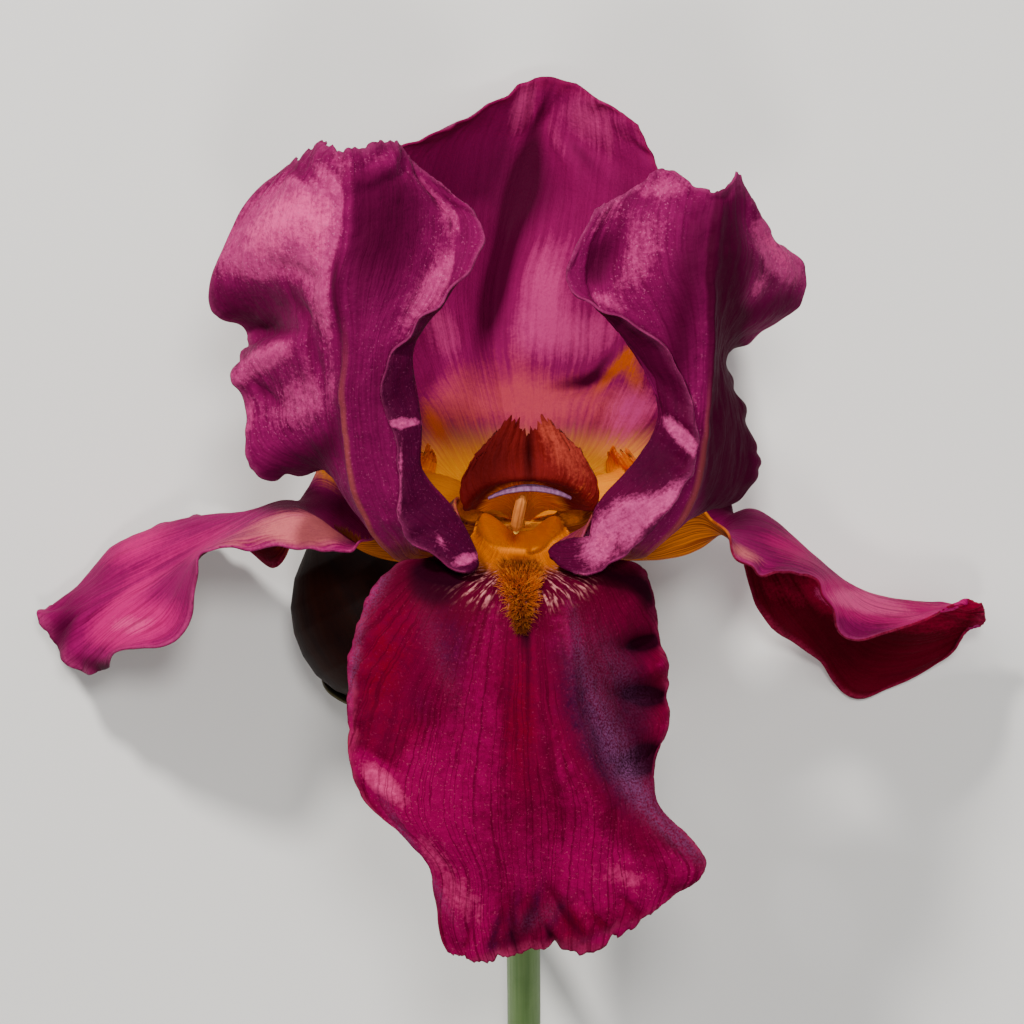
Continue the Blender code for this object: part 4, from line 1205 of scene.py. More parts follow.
# ------------------------------------------------------------------ organs
@dataclass
class Rod:
    """A smooth round rod along a line, closed at both ends."""

    name: str
    line: Sequence[Point]
    radii: Sequence[float]
    sides: int = 28
    rings: int = 40
    ribbing: float = 0.0

    def rings_of(self, sides: int, rings: int) -> tuple[np.ndarray, np.ndarray, np.ndarray]:
        """Lay out the rod's skin.

        Args:
            sides: Points on each ring, the first again at the end.
            rings: Number of rings.

        Returns:
            The points, the places round and the places along.
        """
        line = np.array(self.line, float)
        at = np.linspace(0, 1, rings)
        centre = spline(line, spacing(line), at)
        radius = np.interp(at, np.linspace(0, 1, len(self.radii)), self.radii)
        tangent = unit(np.gradient(centre, axis=0))
        side = unit(np.cross(tangent, np.array([0.0, 0.0, 1.0]) + 0.01))
        lift = np.cross(side, tangent)
        turn = np.linspace(0, 2 * math.pi, sides)
        v, u = np.meshgrid(at, np.linspace(0, 1, sides), indexing="ij")
        swell = radius[:, None] * (1 + self.ribbing * np.sin(turn * 9)[None])
        points = centre[:, None] + swell[..., None] * (
            np.cos(turn)[None, :, None] * side[:, None] + np.sin(turn)[None, :, None] * lift[:, None]
        )
        return points, u, v

    def build(self, bench: Bench, slot: str, finish: bpy.types.Material) -> None:
        """Model the rod and dress it.

        Args:
            bench: Where it is made.
            slot: The material slot of the record.
            finish: Its material.
        """
        points, u, v = self.rings_of(self.sides + 1, self.rings)
        obj = bench.grid(self.name, points, u, v)
        bpy.ops.object.mode_set(mode="EDIT")
        bpy.ops.mesh.select_all(action="SELECT")
        bpy.ops.mesh.remove_doubles(threshold=1e-6)
        bpy.ops.mesh.select_all(action="DESELECT")
        bpy.ops.mesh.select_non_manifold()
        bpy.ops.mesh.edge_face_add()
        bpy.ops.mesh.select_all(action="SELECT")
        bpy.ops.mesh.normals_make_consistent(inside=False)
        bpy.ops.object.mode_set(mode="OBJECT")
        bpy.ops.object.shade_smooth_by_angle(angle=math.radians(50))
        bench.dress(obj, self.name, slot, finish)


class Whorl(Enum):
    """The three places of the style arms, stamens and falls."""

    FRONT = ("front", 0.0, 1.0, 1.0, 1.0, 1.2)
    LEFT = ("left", -120.0, 0.48, 0.66, 1.06, 0.0)
    RIGHT = ("right", 120.0, 0.48, 0.66, 1.06, 0.0)

    def __init__(self, word: str, azimuth: float, lift: float, wide: float, reach: float,
                 shift: float) -> None:
        """Hold the word, the turn and the proportions of one place."""
        self.word, self.azimuth, self.lift = word, azimuth, lift
        self.wide, self.reach, self.shift = wide, reach, shift


@dataclass
class StyleArm:
    """A style arm with its crest and the lip under it."""

    whorl: Whorl
    rows: int = 112
    columns: int = 96
    thickness: float = 0.38
    lip_thickness: float = 0.35
    crest_start: float = 0.52
    saw_count: float = 25.0
    saw_depth: float = 0.03
    tooth_depth: float = 0.035
    side_depth: float = 0.036
    pleats: float = 15.0
    pleat_height: float = 0.10
    bulge: float = 0.35
    # Patches of painted light and painted shade on the crest.
    tones: tuple[Patch, ...] = ()
    warms: tuple[Patch, ...] = ()

    def ribs(self) -> list[Rib]:
        """Mirror the half ribs and turn them to the arm's place.

        Returns:
            The ribs of the arm.
        """
        w = self.whorl
        made = []
        for number, half in enumerate(ARM_HALVES):
            lift, reach = (w.lift, w.reach) if number else (1.0, 1.0)
            left = [(t * w.wide, h * lift, r * reach) for t, h, r in half]
            whole = left + [(-t, h, r) for t, h, r in reversed(left[:-1])]
            top = max(0.0, (half[0][2] - 12) / 7)
            made.append([tuple(around(w.azimuth, t + w.shift * top, h, r)) for t, h, r in whole])
        return made

    def build(self, bench: Bench, near: bpy.types.Material, far: bpy.types.Material,
              lip: bpy.types.Material) -> None:
        """Model the arm, its crest and its lip.

        Args:
            bench: Where they are made.
            near: Finish of the arm's side toward the bloom's middle.
            far: Finish of its other side.
            lip: Finish of the lip.
        """
        w = self.whorl
        surface = Surface(self.ribs())
        u, v = lattice(self.rows, self.columns)
        saw = np.abs(((u * self.saw_count + 0.5 * ripple(u, u * 0, 17, 1, 41)) % 1) - 0.5) * 2
        top = self.saw_depth * saw + self.tooth_depth * (0.5 + 0.5 * ripple(u, u * 0, 33, 1, 42))
        rise = np.clip((v - self.crest_start) / (1 - self.crest_start), 0, 1)
        b = v * (1 - top * rise**2)
        teeth = self.side_depth * (0.5 + 0.5 * ripple(v, v * 0, 52, 1, 43)) * rise
        a = teeth + u * (1 - 2 * teeth)
        points = surface.at(a, b)
        waves = np.sin(u * 2 * math.pi * self.pleats + 2 * ripple(u, v, 6, 3, 44))
        pleat = self.pleat_height * waves * rise
        pleat = pleat + self.bulge * ripple(u, v, 9, 7, 45) * rise
        points = points + pleat[..., None] * surface.normal(a, b)
        tones = tone_layers((self.tones, (), (), self.warms), points, u)
        bench.sheet("style_arm_" + w.word, "style_arm", points, u, v, self.thickness, near, far, tones)
        self.build_lip(bench, lip)

    def build_lip(self, bench: Bench, finish: bpy.types.Material) -> None:
        """Model the lip under the crest.

        Args:
            bench: Where it is made.
            finish: Its material.
        """
        w = self.whorl
        ribs = []
        for out, drop in ((0.2, 1.2), (1.6, 1.5), (2.9, 2.2)):
            rib = []
            for t, fall in LIP_DROOP:
                slim = 0.55 * (1 - 0.75 * (t / 6.3) ** 2)
                height = (12.8 - fall) * w.lift - 1.2 - (drop - 1.2) * slim - 0.45
                place = (t * w.wide + w.shift, height, 19.4 * w.reach - 1.4 + (out - 0.2) * slim)
                rib.append(tuple(around(w.azimuth, *place)))
            ribs.append(rib)
        u, v = lattice(26, 80)
        obj = bench.grid("stigma_lip_" + w.word, Surface(ribs, 61, 161).at(u, v), u, v)
        bench.thicken(obj, self.lip_thickness, second=False)
        bench.dress(obj, "stigma_lip_" + w.word, "stigma_lip", finish)


@dataclass
class Stamen:
    """A filament with its anther."""

    whorl: Whorl
    thread_radii: tuple[float, ...] = (0.55, 0.6, 0.5, 0.4)
    anther_radii: tuple[float, ...] = (0.35, 0.80, 0.86, 0.86, 0.84, 0.8, 0.3)
    grooves: float = 0.08

    def build(self, bench: Bench, thread: bpy.types.Material, pollen: bpy.types.Material) -> None:
        """Model both.

        Args:
            bench: Where they are made.
            thread: Finish of the filament.
            pollen: Finish of the anther.
        """
        w = self.whorl
        low = 0.44 if w.azimuth else 1.0
        line = [tuple(around(w.azimuth, *place)) for place in (
            (0, 0.95, 3.1), (0, 1.9 * low + 0.5, 6.5), (-0.3, 2.6 * low + 0.4, 12),
            (-0.9, 3.2 * low + 0.3, 17.0))]
        Rod("filament_" + w.word, line, self.thread_radii, 16, 30).build(bench, "filament", thread)
        line = [tuple(around(w.azimuth, *place)) for place in (
            (-1.0, 3.7 * low + 0.2, 17.7), (-0.5, 6.6 * low, 18.4), (0.1, 9.6 * low, 18.2))]
        anther = Rod("anther_" + w.word, line, self.anther_radii, 32, 40, self.grooves)
        anther.build(bench, "anther", pollen)


@dataclass
class Beard:
    """The furry tuft on a fall's midrib, hair by hair."""

    word: str
    ribs: list[Rib]
    side: float
    start: float
    end: float
    half_width: float
    count: int
    length: float
    seed: int
    middle: float = 0.5
    hair_radius: float = 0.062
    hair_sides: int = 3
    hair_curl: float = 0.28

    def build(self, bench: Bench, finish: bpy.types.Material) -> None:
        """Model the hairs as one mesh.

        Args:
            bench: Where they are made.
            finish: Finish of the hairs.
        """
        rng = np.random.default_rng(self.seed)
        surface = Surface(self.ribs)
        share = rng.uniform(0, 1, self.count)
        v = self.start + (self.end - self.start) * share
        slim = self.half_width * np.interp(share, [0, 0.15, 0.4, 0.7, 1], [0.85, 1.0, 0.72, 0.36, 0.05])
        spread = rng.uniform(-1, 1, self.count)
        u = self.middle + slim * spread
        root = surface.at(u, v)
        normal = self.side * surface.normal(u, v)
        forward = surface.along(u, v)
        across = unit(np.cross(forward, normal))
        lean = forward * rng.normal(0.55, 0.30, self.count)[:, None]
        tilt = across * (spread * 0.75 + rng.normal(0, 0.25, self.count))[:, None] * np.sign(
            np.einsum("ij,ij->i", across, surface.at(u + 0.01, v) - surface.at(u - 0.01, v)))[:, None]
        way = unit(normal + lean + tilt)
        reach = self.length * np.interp(share, [0, 0.3, 0.8, 1], [0.6, 1.0, 0.9, 0.45])
        reach = reach * rng.uniform(0.65, 1.15, self.count)
        curl = unit(forward + 0.5 * rng.normal(0, 1, (self.count, 3)))
        vertices, faces, places = [], [], []
        sides, steps = self.hair_sides, (0.0, 0.4, 0.75, 1.0)
        last = sides * (len(steps) - 1)
        for i in range(self.count):
            base = len(vertices)
            b = unit(np.cross(way[i], curl[i]))
            c = np.cross(way[i], b)
            for k, step in enumerate(steps):
                bend = curl[i] * self.hair_curl * reach[i] * step**2
                centre = root[i] + way[i] * reach[i] * step + bend
                radius = self.hair_radius * (1 - 0.8 * step)
                for j in range(sides):
                    angle = 2 * math.pi * j / sides
                    vertices.append(centre + radius * (math.cos(angle) * b + math.sin(angle) * c))
                    places.append((share[i], step))
            for ring in range(base, base + last, sides):
                for j in range(sides):
                    m = (j + 1) % sides
                    faces.append((ring + j, ring + m, ring + sides + m, ring + sides + j))
            faces.append(tuple(reversed(range(base, base + sides))))
            faces.append(tuple(range(base + last, base + last + sides)))
        bpy.ops.object.select_all(action="DESELECT")
        bpy.ops.mesh.primitive_cone_add(vertices=3)
        obj = bench.claim("beard_" + self.word)
        mesh = obj.data
        mesh.clear_geometry()
        mesh.from_pydata(bench.place(np.array(vertices)).tolist(), [], faces)
        layer = mesh.uv_layers.new(name="places") if not mesh.uv_layers else mesh.uv_layers[0]
        layer.name = "places"
        corner = np.empty(len(mesh.loops), int)
        mesh.loops.foreach_get("vertex_index", corner)
        layer.data.foreach_set("uv", np.array(places)[corner].ravel())
        mesh.update()
        bpy.ops.object.mode_set(mode="EDIT")
        bpy.ops.mesh.select_all(action="SELECT")
        bpy.ops.mesh.normals_make_consistent(inside=False)
        bpy.ops.object.mode_set(mode="OBJECT")
        bpy.ops.object.shade_smooth()
        bench.dress(obj, "beard_" + self.word, "beard", finish)


@dataclass
class Wrap:
    """A papery bract wrapped round an axis."""

    name: str
    ribs: list[Rib]
    rows: int = 54
    columns: int = 72
    thickness: float = 0.3
    vein_height: float = 0.06

    def build(self, bench: Bench, near: bpy.types.Material, far: bpy.types.Material) -> None:
        """Model the bract.

        Args:
            bench: Where it is made.
            near: Finish of the side of its normals.
            far: Finish of the other side.
        """
        surface = Surface(self.ribs, 181, 181)
        u, v = lattice(self.rows, self.columns)
        veins = ripple(u, v, 40, 3, 71) * np.clip(v * 5, 0, 1)
        points = surface.at(u, v) + self.vein_height * veins[..., None] * surface.normal(u, v)
        bench.sheet(self.name, "spathe", points, u, v, self.thickness, near, far)


@dataclass
class Stalk:
    """The tube, ovary, stem and the two bracts round them."""

    tube_radius: float = 3.85
    ovary_radius: float = 4.6
    stem_radius: float = 2.75

    def tube(self) -> Rod:
        """Return the tube under the petals."""
        line = [tuple(around(0, 0, h, 0)) for h in (0.4, -6, -12, -19.7)]
        return Rod("perianth_tube", line, (self.tube_radius, 3.6, 3.3, 3.3, 3.5), 40, 40)

    def build(self, bench: Bench, green: bpy.types.Material, throat: bpy.types.Material,
              papery: bpy.types.Material) -> None:
        """Model all five.

        Args:
            bench: Where they are made.
            green: Finish of the green parts.
            throat: Finish of the tube, yellow where the petals start.
            papery: Finish of the bracts.
        """
        self.tube().build(bench, "stem_green", throat)
        line = [tuple(around(0, 0, h, 0)) for h in (-20, -28, -36, -44)]
        swell = (3.6, 4.3, self.ovary_radius, 4.3, 3.1)
        Rod("ovary", line, swell, 48, 50, 0.02).build(bench, "stem_green", green)
        r = self.stem_radius
        line = [tuple(around(0, 0, h, 0)) for h in (-44.3, -48.5)] + STEM_LINE
        Rod("stem", line, (r + 0.2, r, r, r), 40, 160).build(bench, "stem_green", green)
        for name, middle, half_turn, stations in (
            ("spathe_inner", 20, 118, INNER_SPATHE), ("spathe_outer", 190, 125, OUTER_SPATHE)
        ):
            ribs = []
            for number, (height, radius) in enumerate(stations):
                share = number / (len(stations) - 1)
                turn = half_turn * (1 - 0.72 * max(0.0, share - 0.35) / 0.65)
                ribs.append([tuple(around(middle + turn * k, 0, height - 3.5 * share * k * k, radius))
                             for k in SEVENTHS])
            Wrap(name, ribs).build(bench, papery, papery)


@dataclass
class Bud:
    """The next bud, in its bract, on its stalk."""

    radius: float = 12.4
    centre: Point = (-24.0, -17.5, 14.7)
    axis: Point = (-0.5, 0.86, 0.06)
    stations: tuple[float, ...] = (-15.5, -8.0, 0.0, 8.0, 15.5)
    swell: tuple[float, ...] = (0.16, 0.62, 0.86, 0.98, 1.0, 0.95, 0.82, 0.58, 0.18)
    stalk_radii: tuple[float, ...] = (2.1, 1.9, 1.8, 1.7, 1.8)

    def build(self, bench: Bench, skin: bpy.types.Material, papery: bpy.types.Material,
              green: bpy.types.Material) -> None:
        """Model the bud, its bract and its stalk.

        Args:
            bench: Where they are made.
            skin: Finish of the rolled petals.
            papery: Finish of the bract.
            green: Finish of the stalk.
        """
        centre, axis = np.array(self.centre), unit(np.array(self.axis))
        line = [tuple(centre + axis * k) for k in self.stations]
        radii = [self.radius * k for k in self.swell]
        swell = np.interp(np.linspace(0, 8, 65), range(9), radii)
        Rod("bud", line, swell, 72, 90).build(bench, "bud_skin", skin)
        side = unit(np.cross(axis, (0.0, 0.0, 1.0)))
        lift = np.cross(side, axis)
        ribs = []
        for station, share in BUD_SPATHE:
            rib = []
            open_up = 1.0 if station < -9 else 1.0 - 0.05 * (station + 9)
            for k in SEVENTHS:
                turn = math.radians(-60 + 125 * open_up * k)
                radius = self.radius * share + 0.75
                rib.append(tuple(centre + axis * (station - 4.0 * k * k * (1 - open_up))
                                 + radius * (math.cos(turn) * side + math.sin(turn) * lift)))
            ribs.append(rib)
        Wrap("bud_spathe", ribs).build(bench, papery, papery)
        Rod("bud_stalk", STALK_LINE, self.stalk_radii, 28, 60).build(bench, "stem_green", green)


# ------------------------------------------------------------------ studio
@dataclass
class Studio:
    """Pale table, soft lights and the camera."""

    height: float = 642.0
    field_at: float = 600.0
    field_width: float = 162.28
    sensor_width: float = 36.0
    floor: Colour = (0.84, 0.83, 0.81)
    sky: Colour = (0.86, 0.9, 0.95)
    sky_strength: float = 0.16
    table_size: float = 6.0
    aim: Point = (0.0, 0.015, 0.045)
    lamps: tuple[tuple[str, Point, float, float, float, Colour], ...] = (
        ("key", (-0.40, 0.66, 0.66), 0.95, 0.12, 10.0, (1.0, 0.965, 0.92)),
        ("front", (0.06, 0.20, 0.97), 0.80, 0.16, 3.1, (1.0, 0.98, 0.95)),
        ("low", (0.02, -0.42, 0.91), 0.80, 0.14, 1.6, (1.0, 0.98, 0.95)),
        ("fill", (0.75, 0.25, 0.6), 1.1, 0.5, 1.6, (0.97, 0.98, 1.0)),
        ("top", (0.05, 0.1, 1.0), 1.4, 1.2, 1.6, (1.0, 1.0, 1.0)),
    )

    def build(self, bench: Bench) -> None:
        """Set up the floor, the lights and the camera.

        Args:
            bench: For the place of the bloom.
        """
        bpy.ops.object.select_all(action="DESELECT")
        bpy.ops.mesh.primitive_plane_add(size=self.table_size, location=(0, 0, 0))
        floor = bench.claim("table")
        g = Graph("table top")
        g.put(g.shader.inputs["Base Color"], (*self.floor, 1))
        g.surface(0.75, specular=0.2)
        floor.data.materials.append(g.material)
        for lamp in self.lamps:
            self.light(*lamp)
        world = bpy.data.worlds.new("studio")
        bpy.context.scene.world = world
        world.use_nodes = True
        background = world.node_tree.nodes["Background"]
        background.inputs[0].default_value = (*self.sky, 1)
        background.inputs[1].default_value = self.sky_strength
        camera = bpy.data.cameras.new("camera")
        eye = bpy.data.objects.new("camera", camera)
        bpy.context.scene.collection.objects.link(eye)
        camera.sensor_width = self.sensor_width
        camera.lens = self.sensor_width * self.field_at / self.field_width
        camera.clip_end = 20
        eye.location = bench.place(np.array([0.0, 0.0, self.height]))
        eye.rotation_euler = (0, 0, 0)
        bpy.context.scene.camera = eye

    def light(self, name: str, toward: Point, distance: float, size: float, power: float,
              colour: Colour) -> None:
        """Hang one soft light.

        Args:
            name: Its name.
            toward: Direction from the bloom to it.
            distance: Distance from the bloom in metres.
            size: Width in metres.
            power: In watts.
            colour: Its colour.
        """
        way = Vector(toward).normalized()
        lamp = bpy.data.lights.new(name, "AREA")
        lamp.shape = "DISK"
        lamp.size = size
        lamp.energy = power
        lamp.color = colour
        obj = bpy.data.objects.new(name, lamp)
        bpy.context.scene.collection.objects.link(obj)
        obj.location = way * distance + Vector(self.aim)
        obj.rotation_euler = way.to_track_quat("Z", "Y").to_euler()


# ------------------------------------------------------------------ the bloom
@dataclass
class Bloom:
    """All the petals, organs, the stem and the bud."""

    standard_outer: PetalFinish = PetalFinish(
        "standard, outer face", (0.185, 0.0026, 0.068), (0.062, 0.0005, 0.021), (0.56, 0.10, 0.26),
        (0.34, 0.085, 0.008), (0.20, 0.025, 0.006), 0.10, throat_soft=0.20, veins=58, vein_strength=0.45,
        lines=0.14, painted_glints=0.75, grains=0.55, streaks=0.25, rim=0.25, mottle=0.5, crumple=1.3,
        hue_and_shade=(0.042, 0.0003, 0.017), warm=(0.72, 0.18, 0.001), painted_light=(0.46, 0.040, 0.178),
        midrib=(0.30, 0.070, 0.040), midrib_end=0.70)
    # Darker than the back standard's inner face: painted shade on the curled margins, where this face
    # shows.
    standard_inner: PetalFinish = PetalFinish(
        "standard, inner face", (0.080, 0.0006, 0.026), (0.032, 0.0003, 0.012), (0.46, 0.07, 0.22),
        (0.75, 0.24, 0.002), (0.50, 0.07, 0.003), 0.10, lines=0.15, painted_glints=0.4, grains=0.55, streaks=0.25,
        rim=0.2, mottle=0.5, crumple=1.3, hue_and_shade=(0.042, 0.0003, 0.017), warm=(0.72, 0.18, 0.001),
        painted_light=(0.46, 0.05, 0.19))
    back_inner: PetalFinish = PetalFinish(
        "back standard, inner face", (0.20, 0.003, 0.070), (0.11, 0.001, 0.034), (0.22, 0.004, 0.05),
        (1.0, 0.37, 0.001), (0.98, 0.30, 0.001), 0.17, throat_soft=0.15, veins=50, vein_strength=0.35,
        fringe=0.04, painted_light=(0.44, 0.032, 0.16), hue_and_shade=(0.37, 0.036, 0.062), warm=(0.40, 0.062, 0.003),
        painted_glints=0.05, grains=0.2, streaks=0.5)
    fall_upper: PetalFinish = PetalFinish(
        "front fall, upper face", (0.125, 0.0002, 0.022), (0.038, 0.0, 0.007), (0.34, 0.030, 0.10),
        (0.54, 0.130, 0.0), (0.44, 0.092, 0.0), 0.22, throat_soft=0.05, veins=36, vein_strength=0.40,
        lines=0.62, painted_light=(0.21, 0.0, 0.050), bloom=(0.13, 0.034, 0.105), pit_painted_light=(1.0, 0.285, 0.0),
        pit_end=0.11, warm=(0.135, 0.0004, 0.009),
        hue_and_shade=(0.036, 0.0003, 0.018), painted_highlight=(0.50, 0.036, 0.15), shade=(0.016, 0.0001, 0.005),
        stripe=(0.26, 0.045, 0.001), wander=0.006, sheen=0.0, gloss=0.01, rim=0.55,
        mottle=0.55, crumple=0.9, painted_glints=0.5, grains=0.45, streaks=0.15, fan=0.60, spots=True)
    side_upper: PetalFinish = PetalFinish(
        "side fall, upper face", (0.27, 0.001, 0.095), (0.12, 0.0005, 0.040), (0.46, 0.05, 0.18),
        (0.85, 0.27, 0.0), (0.50, 0.10, 0.0), 0.14, throat_soft=0.08, veins=55, lines=0.4,
        painted_light=(0.50, 0.001, 0.14), bloom=(0.55, 0.115, 0.13), warm=(0.66, 0.19, 0.006),
        painted_highlight=(0.78, 0.070, 0.26), wander=0.02, painted_glints=0.1, streaks=0.5, grains=0.2)
    fall_under: PetalFinish = PetalFinish(
        "fall, underside", (0.10, 0.0006, 0.009), (0.045, 0.0002, 0.003), (0.40, 0.02, 0.08),
        (0.78, 0.20, 0.001), (0.26, 0.04, 0.001), 0.34, throat_soft=0.1, veins=50, lines=0.3,
        painted_light=(0.30, 0.001, 0.03), painted_glints=0.1)
    crest: PetalFinish = PetalFinish(
        "crest", (0.145, 0.007, 0.007), (0.060, 0.0010, 0.0025), (0.10, 0.004, 0.004),
        (0.85, 0.28, 0.002), (0.62, 0.14, 0.002), 0.36, throat_soft=0.14, painted_glints=0.15, veins=40,
        vein_strength=0.35, lines=0.12, mottle=0.4, line=(0.035, 0.0006, 0.001),
        painted_light=(0.36, 0.045, 0.028), shade=(0.022, 0.0004, 0.0006), warm=(0.62, 0.13, 0.01))
    # Its yellow is painted brighter than the golden arms': painted light on the front arm's shaded
    # underside.
    arm: PetalFinish = PetalFinish(
        "style arm", (0.50, 0.10, 0.006), (0.34, 0.045, 0.004), (0.12, 0.006, 0.004), (1.0, 0.42, 0.0),
        (0.98, 0.36, 0.0), 0.80, throat_soft=0.14, veins=30, stripe=(0.36, 0.075, 0.001), painted_glints=0.0)
    golden: PetalFinish = PetalFinish(
        "golden style arm", (0.62, 0.14, 0.006), (0.40, 0.06, 0.004), (0.40, 0.05, 0.01),
        (0.76, 0.23, 0.001), (0.70, 0.18, 0.001), 0.85, throat_soft=0.15, veins=30, painted_glints=0.0)
    hair: BeardFinish = BeardFinish(
        "beard hair", (0.60, 0.125, 0.007), (0.075, 0.009, 0.002), (0.85, 0.30, 0.02))
    lip: PlainFinish = PlainFinish(
        "stigma lip", (0.30, 0.13, 0.26), (0.13, 0.04, 0.10), 24, 1.0, roughness=0.45)
    thread: PlainFinish = PlainFinish("filament", (0.70, 0.40, 0.04), (0.62, 0.30, 0.03), 10, 1.0)
    pollen: PlainFinish = PlainFinish(
        "anther", (0.55, 0.17, 0.025), (0.40, 0.10, 0.012), 14, 3.0, roughness=0.7)
    green: PlainFinish = PlainFinish(
        "stem green", (0.10, 0.19, 0.045), (0.15, 0.25, 0.075), 26, 3.0, roughness=0.42)
    papery: PlainFinish = PlainFinish(
        "bract", (0.10, 0.10, 0.035), (0.055, 0.03, 0.015), 40, 2.0, tip=(0.10, 0.05, 0.025),
        tip_from=0.5, roughness=0.6)
    bud_skin: PlainFinish = PlainFinish(
        "bud skin", (0.009, 0.0012, 0.001), (0.018, 0.003, 0.001), 30, 1.5, roughness=0.6, specular=0.1)
    tube: PlainFinish = PlainFinish(
        "tube", (0.80, 0.28, 0.004), (0.62, 0.17, 0.004), 12, 2.0, tip=(0.10, 0.19, 0.045), tip_from=0.05)

